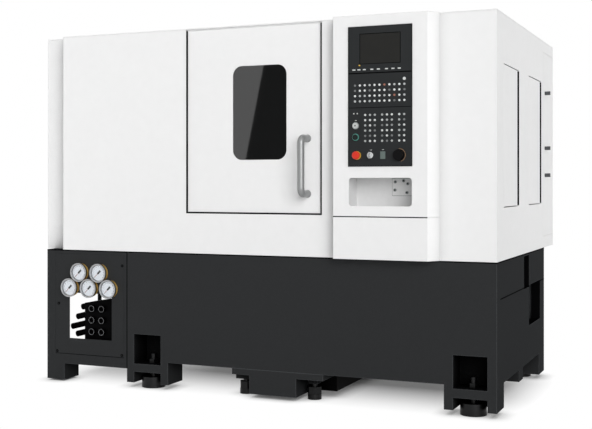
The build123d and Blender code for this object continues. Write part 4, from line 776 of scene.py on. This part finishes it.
@dataclass
class ControlPanel:
    """Printed marks, rings and the port cover of the control."""

    face_y: float = -715.0
    ink_depth: float = 0.2
    soft_key_x: tuple[float, ...] = (532.0, 555.0, 580.0, 615.0, 644.0, 681.0, 710.0, 738.0)
    soft_key_z: float = 1482.0
    soft_key_reach: float = 2.3
    soft_key_size: Pair = (13.0, 5.0)
    hold: Pair = (541.0, 1239.0)
    hold_mark_radius: float = 3.2
    start: Pair = (541.0, 1189.0)
    button_reach: float = 12.0
    key: Pair = (610.0, 1110.0)
    key_rim: Pair = (6.5, 13.4)
    key_reach: float = 13.0
    reset_key: Pair = (761.0, 1437.0)
    reset_radius: float = 6.8
    reset_reach: float = 2.0
    mark_sheet: float = 0.4
    mark_sides: int = 24
    ring_reach: float = 5.0
    ring_inner: float = 12.4
    ring_outer: float = 15.4
    ring_sheet: float = 0.5
    port: Pair = (665.0, 1110.0)
    port_reach: float = 3.0
    port_half: Pair = (11.4, 16.4)
    port_sheet: float = 1.0
    port_grip: float = 0.6
    port_grip_half: float = 0.6
    port_grip_levels: Pair = (0.2, 0.7)
    override: Pair = (737.0, 1110.0)
    override_scale: float = 28.0
    override_count: int = 33
    override_start: float = -70.0
    override_sweep: float = 160.0
    override_tick: Pair = (3.0, 1.6)
    panel: Box = (506.0, 792.0, 1064.0, 1668.0)
    joints: tuple[Pair, ...] = ((1317.0, 1.2), (1467.0, 2.6))
    screen: Box = (560.0, 741.0, 1508.0, 1636.0)
    gasket: float = 2.4
    housing_y: float = -711.0
    housing_x: Pair = (432.0, 861.0)
    seam_z: float = 843.0
    seam_half: float = 2.2
    seam_proud: float = 0.3
    seam_depth: float = 2.5
    cheek: tuple[Pair, Pair] = ((861.0, -711.0), (899.0, -651.0))
    cheek_half: float = 1.3
    cheek_end: float = 0.5
    cheek_depth_share: float = 12.0
    legends: tuple[tuple[str, tuple[Pair, ...], Pair, Finish, str], ...] = (
        ("screen_indicator", ((557.0, 1501.0),), (7.0, 5.0), LENS_YELLOW, "collar_yellow"),
        ("run_indicators", ((531.0, 1292.0), (547.0, 1292.0)), (5.0, 5.0), PANEL_INK, "key_grey"),
        ("switch_legends", ((610.0, 1133.0), (665.0, 1134.0), (541.0, 1262.0)), (9.0, 2.0), PANEL_INK, "key_grey"),
    )

    def build(self) -> None:
        """Builds every mark, ring, joint and cover of the panel."""
        marks = mark_recipe()
        places = [(x, self.face_y - self.soft_key_reach / 2, self.soft_key_z) for x in self.soft_key_x]
        width, height = self.soft_key_size
        keep(marks.bake("soft_key_marks", facing_points("soft_key_marks", places, Facing.FRONT), PANEL_INK,
                        Size=(width * MM, self.soft_key_reach * MM, height * MM)), "machine")
        for name, (x, z), finish in (("start_ring", self.start, RING_GREEN), ("hold_ring", self.hold, RING_GREY)):
            shape = bmesh.new()
            add_ring(shape, (x, self.face_y - self.ring_reach, z), self.ring_inner, self.ring_outer, self.ring_sheet)
            keep(mesh_object(name, shape, finish), "machine")
        for name, (x, z), reach, (inner, outer), finish, body in (
            ("hold_button_mark", self.hold, self.button_reach, (0.0, self.hold_mark_radius), INK_AND_SOCKET_SHADE, "hold_button"),
            ("reset_key_mark", self.reset_key, self.reset_reach, (0.0, self.reset_radius), PANEL_INK, "machine"),
            ("key_switch_rim", self.key, self.key_reach, self.key_rim, PANEL_INK, "key_switch"),
        ):
            shape = bmesh.new()
            add_ring(shape, (x, self.face_y - reach, z), inner, outer, self.mark_sheet, self.mark_sides)
            keep(mesh_object(name, shape, finish), body)
        self.build_port()
        self.build_joints()
        self.build_small_marks(marks)
        centre = (self.override[0], self.face_y - self.ink_depth / 2, self.override[1])
        length, width = self.override_tick
        scale = tick_recipe().bake(
            "override_scale", facing_points("override_scale", [centre], Facing.FRONT), BRONZE_INK,
            Radius=self.override_scale * MM, Count=self.override_count, Start=math.radians(self.override_start),
            Sweep=math.radians(self.override_sweep), Size=(length * MM, self.ink_depth * MM, width * MM))
        keep(scale, "machine")

    def build_joints(self) -> None:
        """Builds the gasket round the panel, the joints across it, the rim of the screen and the housing's joint."""
        rim, housing = self.gasket, self.housing_y
        shape = bmesh.new()
        for x0, x1, z0, z1 in rim_bars(self.panel, rim):
            add_plate(shape, (x0, housing - rim, z0), (x1, housing, z1))
        left, right = self.panel[:2]
        bars = [(left, right, z - half, z + half) for z, half in self.joints]
        for x0, x1, z0, z1 in bars + rim_bars(self.screen, rim):
            add_plate(shape, (x0, self.face_y - self.ink_depth, z0), (x1, self.face_y, z1))
        keep(mesh_object("panel_gasket", shape, EPDM_RUBBER), "machine")
        seam = bmesh.new()
        add_plate(seam, (self.housing_x[0], housing - self.seam_proud, self.seam_z - self.seam_half),
                  (self.housing_x[1], housing + self.seam_depth, self.seam_z + self.seam_half))
        keep(mesh_object("control_joint_seal", seam, EPDM_RUBBER), "machine")
        self.build_cheek_filler()

    def build_cheek_filler(self) -> None:
        """Builds the painted sealant in the joint on the slanted cheek of the housing."""
        (x0, y0), (x1, y1) = self.cheek
        along = Vector((x1 - x0, y1 - y0, 0.0)).normalized()
        proud = Vector((-along.y, along.x, 0.0)) * -self.ink_depth
        inwards = proud * -self.cheek_depth_share
        half = Vector((0.0, 0.0, self.cheek_half))
        shape = bmesh.new()
        ends = [Vector((x0, y0, self.seam_z)) + along * self.cheek_end,
                Vector((x1, y1, self.seam_z)) - along * self.cheek_end]
        loops = []
        for point in ends:
            loops.append([shape.verts.new((point + side + rise) * MM) for side, rise in (
                (proud, -half), (proud, half), (inwards, half), (inwards, -half),
            )])
        for i in range(4):
            shape.faces.new((loops[0][i], loops[0][i - 1], loops[1][i - 1], loops[1][i]))
        shape.faces.new(loops[0])
        shape.faces.new(loops[1])
        keep(mesh_object("cheek_joint_sealant", shape, STEPPED_COAT), "machine")

    def build_small_marks(self, marks: NodeRecipe) -> None:
        """Builds the indicator lenses and the short legends.

        Args:
            marks: Recipe for printed marks.
        """
        level = self.face_y - self.ink_depth / 2
        for name, places, (width, height), finish, slot in self.legends:
            points = facing_points(name, [(x, level, z) for x, z in places], Facing.FRONT)
            size = (width * MM, self.ink_depth * MM, height * MM)
            keep(marks.bake(name, points, finish, Size=size), "machine")

    def build_port(self) -> None:
        """Builds the moulded cover on the data port, with a raised grip."""
        shape = bmesh.new()
        x, z = self.port
        half_x, half_z = self.port_half
        back = self.face_y - self.port_reach
        front = back - self.port_sheet
        add_plate(shape, (x - half_x, front, z - half_z), (x + half_x, back, z + half_z))
        grip_x = half_x * self.port_grip_half
        low, high = (z + half_z * level for level in self.port_grip_levels)
        add_plate(shape, (x - grip_x, front - self.port_grip, low), (x + grip_x, front, high))
        keep(mesh_object("port_cover", shape, PORT_COVER), "machine")


@dataclass
class SideTrim:
    """Rubber in the grip channels of the service doors, seals in the cabinet's gaps, joints of the base, and black
    sheets that paint the shade in the base's openings.
    """

    door_starts: tuple[float, ...] = (-510.0, 60.0)
    door_width: float = 290.0
    bottom: float = 888.0
    top: float = 1502.0
    gap: float = 37.0
    inner_x: float = 1141.0
    outer_x: float = 1144.0
    lip: float = 4.0
    lip_proud: float = 0.5
    lip_depth: float = 3.0
    clearance: float = 1.0
    cabinet_span: Pair = (445.0, 717.0)
    cabinet_gaps: tuple[Pair, ...] = ((716.3, 719.7), (1660.3, 1663.7))
    cabinet_set_back: float = 0.4
    base_joints: tuple[Pair, ...] = ((-581.0, -64.0), (356.0, 469.0))
    base_joint_z: float = 496.0
    base_joint_half: float = 2.5
    base_joint_proud: float = 0.3
    base_openings: tuple[Box, ...] = ((-64.0, 60.0, 490.0, 645.0), (60.0, 356.0, 305.0, 500.0))
    shade_sheet_x: Pair = (1100.0, 1143.8)
    shade_sheet_thickness: float = 0.5
    channel_depth: float = 26.0
    sheet: float = 3.0
    rubber: float = 1.0

    def build(self) -> None:
        """Builds the channels' rubber, the gap seals, the base joints and the black sheets of painted shade in the
        base's openings.
        """
        shape = bmesh.new()
        back = self.inner_x - self.channel_depth + self.sheet
        low, high = self.bottom + self.clearance, self.top - self.clearance
        proud = self.outer_x + self.lip_proud
        for start in self.door_starts:
            near = start + self.door_width
            far = near + self.gap - self.sheet
            wall = far - self.rubber
            add_plate(shape, (back, near + self.clearance, low), (back + self.rubber, far, high))
            add_plate(shape, (back + self.rubber, wall, low), (self.inner_x - self.clearance, far, high))
            add_plate(shape, (self.inner_x - self.lip_depth, wall, self.bottom), (proud, far, self.top))
            add_plate(shape, (self.outer_x, far, self.bottom), (proud, far + self.lip, self.top))
        keep(mesh_object("grip_channel_rubber", shape, EPDM_RUBBER), "machine")
        fillers = bmesh.new()
        near, far = self.cabinet_span
        for z0, z1 in self.cabinet_gaps:
            add_plate(fillers, (self.inner_x, near, z0), (self.outer_x - self.cabinet_set_back, far, z1))
        keep(mesh_object("cabinet_gap_seals", fillers, WHITE_COAT), "machine")
        joint = bmesh.new()
        low, high = self.base_joint_z - self.base_joint_half, self.base_joint_z + self.base_joint_half
        for y0, y1 in self.base_joints:
            add_plate(joint, (self.outer_x, y0, low), (self.outer_x + self.base_joint_proud, y1, high))
        keep(mesh_object("base_side_joint", joint, EPDM_RUBBER), "machine")
        # Painted shade: black sheets on the sill and rear side of each opening in the base's right side
        shade_sheets = bmesh.new()
        (inner, outer), sheet = self.shade_sheet_x, self.shade_sheet_thickness
        for y0, y1, z0, z1 in self.base_openings:
            add_plate(shade_sheets, (inner, y1 - sheet, z0), (outer, y1, z1))
            add_plate(shade_sheets, (inner, y0, z0), (outer, y1 - sheet, z0 + sheet))
        keep(mesh_object("base_opening_shade_sheets", shade_sheets, EPDM_RUBBER), "machine")


@dataclass
class DoorSeals:
    """Black wiper seals round the sliding door and the painted strip over it."""

    left: float = -337.0
    right: float = 354.0
    bottom: float = 848.0
    top: float = 1715.0
    width: float = 5.6
    front_y: float = -650.0
    back_y: float = -643.6
    cover_y: float = -651.0
    leaf_y: float = -643.0
    lip: float = 1.6
    lip_sheet: float = 0.4

    def build(self) -> None:
        """Builds the seals and the strip."""
        shape = bmesh.new()
        for x0, x1, z0, z1 in (
            (self.left, self.left + self.width, self.bottom, self.top - self.width),
            (self.right - self.width, self.right, self.bottom, self.top - self.width),
            (self.left + self.width, self.right - self.width, self.bottom, self.bottom + self.width),
        ):
            add_plate(shape, (x0, self.front_y, z0), (x1, self.back_y, z1))
        lip_y = self.cover_y - self.lip_sheet
        for x0, x1, z0, z1 in (
            (self.right, self.right + self.lip, self.bottom - self.lip, self.top - self.width),
            (self.left, self.right, self.bottom - self.lip, self.bottom),
        ):
            add_plate(shape, (x0, lip_y, z0), (x1, self.cover_y, z1))
        keep(mesh_object("door_wiper_seals", shape, EPDM_RUBBER), "machine")
        strip = bmesh.new()
        add_plate(strip, (self.left, self.leaf_y, self.top - self.width),
                  (self.right, self.leaf_y + self.width, self.top))
        keep(mesh_object("door_head_strip", strip, WHITE_COAT), "machine")


@dataclass
class PocketFittings:
    """Bolted plate at the back of the storage pocket."""

    plate_low: Point = (669.0, -597.0, 935.0)
    plate_high: Point = (786.0, -594.6, 1010.0)
    outline: float = 2.0
    gasket: float = 0.5
    bolt_places: tuple[Pair, ...] = (
        (683.0, 995.0), (721.0, 1000.0), (740.0, 987.0), (681.0, 959.0), (736.0, 948.0),
    )
    bolt_radius: float = 7.0
    bolt_height: float = 3.0

    def build(self, screws: Fasteners) -> None:
        """Builds the plate, its gasket and its bolts.

        Args:
            screws: Builder for the bolts.
        """
        shape = bmesh.new()
        add_plate(shape, self.plate_low, self.plate_high)
        keep(mesh_object("pocket_plate", shape, TRAY_GREY), "machine")
        edge = bmesh.new()
        left, _, low = (c - self.outline for c in self.plate_low)
        right, _, high = (c + self.outline for c in self.plate_high)
        back = self.plate_high[1]
        add_plate(edge, (left, back, low), (right, back + self.gasket, high))
        keep(mesh_object("pocket_plate_gasket", edge, RING_GREY), "machine")
        face = self.plate_low[1]
        screws.build("pocket_bolts", [(x, face, z) for x, z in self.bolt_places], Facing.FRONT, self.bolt_radius,
                     self.bolt_height, RING_GREY, "machine", "key_chrome")


@dataclass
class CabinetTrim:
    """Screws and lower edge of the gauge panel, painted highlights on the rims of the valve caps, and the joint beside
    the base.
    """

    cap_x: tuple[float, ...] = (-879.0, -822.0)
    cap_z: tuple[float, ...] = (253.0, 310.0, 367.0)
    cap_front: float = -637.0
    cap_radius: float = 15.4
    rim: float = 1.6
    rim_sheet: float = 0.4
    rim_sides: int = 32
    joint_x: float = -664.0
    joint_half: float = 2.4
    joint_proud: float = 0.3
    joint_levels: Pair = (90.0, 651.5)
    panel_edge: Point = (-1080.0, -681.0, 140.0)
    panel_edge_proud: float = 1.5
    front_y: float = -651.0
    panel_y: float = -653.0
    panel_screws: tuple[Pair, ...] = ((-1070.0, 150.0), (-692.0, 150.0), (-690.0, 586.0), (-1061.0, 388.0))
    screw_radius: float = 7.0
    screw_height: float = 2.0

    def build_screws(self, screws: Fasteners) -> None:
        """Builds the screws of the gauge panel.

        Args:
            screws: Builder for the screws.
        """
        places = [(x, self.panel_y, z) for x, z in self.panel_screws]
        screws.build("gauge_panel_screws", places, Facing.FRONT, self.screw_radius, self.screw_height, EPDM_RUBBER,
                     "machine", "black_steel")

    def build(self) -> None:
        """Builds the painted rim highlights, the joint and the strip under the gauge panel."""
        # Painted highlight: light rings on the valve caps' rims
        shape = bmesh.new()
        for x in self.cap_x:
            for z in self.cap_z:
                add_ring(shape, (x, self.cap_front, z), self.cap_radius - self.rim, self.cap_radius, self.rim_sheet,
                         self.rim_sides)
        keep(mesh_object("valve_cap_rim_highlights", shape, CAP_RIM_HIGHLIGHT), "machine")
        joint = bmesh.new()
        half, (low, high) = self.joint_half, self.joint_levels
        add_plate(joint, (self.joint_x - half, self.front_y - self.joint_proud, low),
                  (self.joint_x + half, self.front_y, high))
        left, right, edge = self.panel_edge
        add_plate(joint, (left, self.front_y - self.panel_edge_proud, edge - half), (right, self.front_y, edge))
        keep(mesh_object("cabinet_joint_seal", joint, EPDM_RUBBER), "machine")


@dataclass
class HiddenSides:
    """Cover screws on back, left end and roof, and the filter mats behind the louvres."""

    back_y: float = 739.0
    left_x: float = -1172.0
    roof_z: float = 1720.0
    sheet: float = 3.0
    mat_gap: float = 0.5
    mat: float = 2.5
    mat_half: float = 142.0
    mat_levels: Pair = (804.0, 1044.0)
    rear_mats: tuple[float, ...] = (-752.0, 724.0)
    end_mat: float = -11.0
    screw_levels: tuple[float, ...] = (687.0, 1020.0, 1353.0, 1686.0)
    rear_screws: tuple[float, ...] = (-1142.0, -571.0, 0.0, 571.0, 1114.0)
    end_screws: tuple[float, ...] = (-560.0, -135.0, 285.0, 710.0)
    roof_rows: tuple[float, ...] = (-540.0, 40.0, 700.0)
    screw_radius: float = 6.5
    screw_height: float = 2.5

    def build(self, screws: Fasteners) -> None:
        """Builds screws and mats.

        Args:
            screws: Builder for the screws.
        """
        rear = [(x, self.back_y, z) for x, z in self.border(self.rear_screws)]
        end = [(self.left_x, y, z) for y, z in self.border(self.end_screws)]
        roof = [(x, y, self.roof_z) for x in self.rear_screws for y in self.roof_rows]
        for name, places, facing in (
            ("rear_cover_screws", rear, Facing.BACK), ("end_cover_screws", end, Facing.LEFT),
            ("roof_screws", roof, Facing.UP),
        ):
            screws.build(name, places, facing, self.screw_radius, self.screw_height, PLATED_ZINC, "machine",
                         "key_chrome")
        shape = bmesh.new()
        low, high = self.mat_levels
        face = self.back_y - self.sheet - self.mat_gap
        for x in self.rear_mats:
            add_plate(shape, (x - self.mat_half, face - self.mat, low), (x + self.mat_half, face, high))
        face = self.left_x + self.sheet + self.mat_gap
        add_plate(shape, (face, self.end_mat - self.mat_half, low),
                  (face + self.mat, self.end_mat + self.mat_half, high))
        keep(mesh_object("louvre_filter_mats", shape, FILTER_FLEECE), "machine")

    def border(self, columns: Sequence[float]) -> list[Pair]:
        """Gives screw places along the border of a cover.

        Args:
            columns: Places across the cover.

        Returns:
            Place across and height: lowest and highest row first, then the outer columns between them.
        """
        bottom, *between, top = self.screw_levels
        rows = [(across, z) for across in columns for z in (bottom, top)]
        return rows + [(across, z) for across in (columns[0], columns[-1]) for z in between]


@dataclass
class ChuckFittings:
    """Face screws of the chuck, in pairs between the jaws."""

    face_x: float = -247.7
    centre: Pair = (-221.31, 1059.92)
    circle: float = 82.0
    angles: tuple[float, ...] = (90.0, 120.0, 210.0, 240.0, 330.0, 0.0)
    screw_radius: float = 6.5
    screw_height: float = 2.0

    def build(self, screws: Fasteners) -> None:
        """Builds the screws.

        Args:
            screws: Builder for the screws.
        """
        y, z = self.centre
        turns = [math.radians(a) for a in self.angles]
        places = [(self.face_x, y + self.circle * math.cos(t), z + self.circle * math.sin(t)) for t in turns]
        screws.build("chuck_screws", places, Facing.RIGHT, self.screw_radius, self.screw_height, BLACK_OXIDE, "spindle",
                     "black_steel")


@dataclass
class BaseFittings:
    """Chip tray in front of the coolant tank, and a black strip in the joint between base and covers that paints the
    shadow line under the covers.
    """

    tray_low: Point = (60.0, -500.0, 30.0)
    tray_high: Point = (370.0, -88.0, 128.0)
    left_x: float = -1132.0
    right_x: float = 1144.0
    front_y: float = -651.0
    back_y: float = 469.0
    shadow_line_levels: Pair = (651.5, 657.0)
    gasket: float = 0.3

    def build(self) -> None:
        """Builds the tray and the black strip of painted shadow."""
        shape = bmesh.new()
        add_plate(shape, self.tray_low, self.tray_high)
        keep(mesh_object("tank_front_tray", shape, VALVE_BLACK), "machine")
        # Painted shadow: a black strip on the base's top edge, for the shadowed joint under the covers
        rim = bmesh.new()
        low, high = self.shadow_line_levels
        outer = self.right_x + self.gasket
        add_plate(rim, (self.left_x, self.front_y - self.gasket, low), (outer, self.front_y, high))
        add_plate(rim, (self.right_x, self.front_y, low), (outer, self.back_y, high))
        keep(mesh_object("base_shadow_line_strip", rim, EPDM_RUBBER), "machine")


@dataclass
class Studio:
    """Floor, world, lamps and the camera at the photograph's angle."""

    camera_place: Point = (2.0965, -5.017, 0.9921)
    camera_turn: float = 23.15
    lens: float = 63.78
    sensor: float = 36.0
    shift_y: float = -0.054
    floor_half: float = 30.0
    floor_colour: str = "#f4f4f4"
    # The next six set the floor's painted shade: glow share at the footprint, footprint half size, fade distance, side
    # rate, then the painted contact shadow's reach and strength
    floor_glow: float = 0.15
    footprint: Pair = (1.02, 0.12)
    fade_end: float = 0.55
    side_rate: float = 2.6
    painted_contact_reach: float = 0.07
    painted_contact_power: float = 0.8
    world_light: float = 0.30
    key_from: Point = (0.57, -0.785, 0.27)
    key_strength: float = 2.36
    fill_from: Point = (-0.3, 0.72, 0.62)
    fill_strength: float = 1.60
    lamp_spread: float = 46.0
    card_y: float = -2.2
    card_levels: Pair = (1.0, 1.9)
    card_edges: tuple[Pair, Pair, Pair] = ((-1.1, -1.1), (-0.815, -0.624), (-0.35, -0.35))
    card_strengths: Pair = (2.05, 0.14)

    def build(self) -> None:
        """Sets the view, then builds floor, light and camera."""
        bpy.context.scene.view_settings.view_transform = "Standard"
        self.build_world()
        self.build_floor()
        self.build_cards()
        self.build_lamp("key_light", self.key_from, self.key_strength)
        self.build_lamp("fill_light", self.fill_from, self.fill_strength)
        view = bpy.data.cameras.new("camera")
        view.lens = self.lens
        view.sensor_width = self.sensor
        view.shift_y = self.shift_y
        holder = bpy.data.objects.new("camera", view)
        holder.location = self.camera_place
        holder.rotation_euler = (math.radians(90), 0.0, math.radians(self.camera_turn))
        bpy.context.scene.collection.objects.link(holder)
        bpy.context.scene.camera = holder

    @staticmethod
    def seen(tree: bpy.types.NodeTree) -> bpy.types.NodeSocket:
        """Adds the test for rays that show the backdrop: camera, mirror and glass rays.

        Args:
            tree: Material's or world's tree.

        Returns:
            Socket that is one on such rays.
        """
        path = add_node(tree, "ShaderNodeLightPath")
        both = add_node(tree, "ShaderNodeMath", {"operation": "MAXIMUM"}, {
            0: path.outputs["Is Camera Ray"], 1: path.outputs["Is Glossy Ray"],
        })
        return add_node(tree, "ShaderNodeMath", {"operation": "MAXIMUM"}, {
            0: both.outputs[0], 1: path.outputs["Is Transmission Ray"],
        }).outputs[0]

    def build_world(self) -> None:
        """Builds a plain white world, white to the camera and softer as light."""
        world = bpy.data.worlds.new("studio")
        world.use_nodes = True
        tree = world.node_tree
        tree.nodes.clear()
        light = add_node(tree, "ShaderNodeBackground", inputs={"Color": (1, 1, 1, 1), "Strength": self.world_light})
        plain = add_node(tree, "ShaderNodeBackground", inputs={"Color": (1, 1, 1, 1), "Strength": 1.0})
        mixed = add_node(tree, "ShaderNodeMixShader", inputs={
            0: self.seen(tree), 1: light.outputs[0], 2: plain.outputs[0],
        })
        add_node(tree, "ShaderNodeOutputWorld", inputs={"Surface": mixed.outputs[0]})
        bpy.context.scene.world = world

    def build_floor(self) -> None:
        """Builds the white floor, which keeps the machine's soft shadow and turns plain white away from it; a painted
        shade darkens it towards the machine's footprint, and a painted contact shadow darkens it beside the feet and
        legs.
        """
        half = self.floor_half
        mesh = bpy.data.meshes.new("floor")
        corners = [(-half, -half, 0), (half, -half, 0), (half, half, 0), (-half, half, 0)]
        mesh.from_pydata(corners, [], [(0, 1, 2, 3)])
        floor = bpy.data.objects.new("floor", mesh)
        bpy.context.scene.collection.objects.link(floor)
        paint = bpy.data.materials.new("studio_floor_paint")
        paint.use_nodes = True
        tree = paint.node_tree
        tree.nodes.clear()
        matt = add_node(tree, "ShaderNodeBsdfDiffuse", inputs={"Color": linear(self.floor_colour)})
        # Painted contact shadow: ambient occlusion dims the white glow beside the feet and legs
        near = add_node(tree, "ShaderNodeAmbientOcclusion", {"samples": CONTACT_SHADE_SAMPLES}, {
            "Distance": self.painted_contact_reach,
        })
        contact_shade = add_node(tree, "ShaderNodeMath", {"operation": "POWER"}, {
            0: near.outputs["AO"], 1: self.painted_contact_power,
        })
        glow = add_node(tree, "ShaderNodeEmission", inputs={"Strength": contact_shade.outputs[0]})
        # Painted shade: the glow's share falls towards the machine's footprint, so the floor darkens there wherever it
        # lies
        place = add_node(tree, "ShaderNodeTexCoord")
        folded = add_node(tree, "ShaderNodeVectorMath", {"operation": "ABSOLUTE"}, {0: place.outputs["Object"]})
        beyond = add_node(tree, "ShaderNodeVectorMath", {"operation": "SUBTRACT"}, {
            0: folded.outputs[0], 1: (*self.footprint, 0.0),
        })
        outside = add_node(tree, "ShaderNodeVectorMath", {"operation": "MAXIMUM"}, {
            0: beyond.outputs[0], 1: (0, 0, 0),
        })
        weighed = add_node(tree, "ShaderNodeVectorMath", {"operation": "MULTIPLY"}, {
            0: outside.outputs[0], 1: (self.side_rate, 1.0, 1.0),
        })
        away = add_node(tree, "ShaderNodeVectorMath", {"operation": "LENGTH"}, {0: weighed.outputs[0]})
        fade = add_node(tree, "ShaderNodeMapRange", inputs={
            "Value": away.outputs["Value"], "From Min": 0.0, "From Max": self.fade_end,
            "To Min": self.floor_glow, "To Max": 1.0,
        })
        share = add_node(tree, "ShaderNodeMath", {"operation": "MULTIPLY"}, {
            0: self.seen(tree), 1: fade.outputs["Result"],
        })
        mixed = add_node(tree, "ShaderNodeMixShader", inputs={
            0: share.outputs[0], 1: matt.outputs[0], 2: glow.outputs[0],
        })
        add_node(tree, "ShaderNodeOutputMaterial", inputs={"Surface": mixed.outputs[0]})
        mesh.materials.append(paint)

    def build_cards(self) -> None:
        """Builds a bright and a dark reflector card that only mirror rays meet, for the door's glass."""
        low, high = self.card_levels
        for name, near, far, strength in (
            ("bright_card", self.card_edges[0], self.card_edges[1], self.card_strengths[0]),
            ("dark_card", self.card_edges[1], self.card_edges[2], self.card_strengths[1]),
        ):
            mesh = bpy.data.meshes.new(name)
            corners = [(near[0], low), (far[0], low), (far[1], high), (near[1], high)]
            mesh.from_pydata([(x, self.card_y, z) for x, z in corners], [], [(0, 1, 2, 3)])
            card = bpy.data.objects.new(name, mesh)
            bpy.context.scene.collection.objects.link(card)
            board = bpy.data.materials.new(name + "_board")
            board.use_nodes = True
            board.node_tree.nodes.clear()
            glow = add_node(board.node_tree, "ShaderNodeEmission", inputs={"Strength": strength})
            add_node(board.node_tree, "ShaderNodeOutputMaterial", inputs={"Surface": glow.outputs[0]})
            mesh.materials.append(board)
            for ray in ("camera", "diffuse", "shadow", "transmission"):
                setattr(card, f"visible_{ray}", False)

    def build_lamp(self, name: str, source: Point, strength: float) -> None:
        """Builds a lamp as broad and far as a wall of soft boxes.

        Args:
            name: Lamp's name.
            source: Direction it comes from.
            strength: Light on a face turned to it.
        """
        lamp = bpy.data.lights.new(name, "SUN")
        lamp.energy = strength
        lamp.angle = math.radians(self.lamp_spread)
        holder = bpy.data.objects.new(name, lamp)
        holder.rotation_euler = (-Vector(source)).to_track_quat("-Z", "Y").to_euler()
        bpy.context.scene.collection.objects.link(holder)


def main() -> None:
    """Dresses the machine, then sets the studio round it."""
    logging.basicConfig(level=logging.INFO, format="%(message)s")
    dress_cad_nodes()
    Gauges().build()
    ControlPanel().build()
    screws = Fasteners()
    cabinet = CabinetTrim()
    cabinet.build_screws(screws)
    SideTrim().build()
    DoorSeals().build()
    PocketFittings().build(screws)
    cabinet.build()
    HiddenSides().build(screws)
    ChuckFittings().build(screws)
    BaseFittings().build()
    Studio().build()


if __name__ == "__main__":
    main()
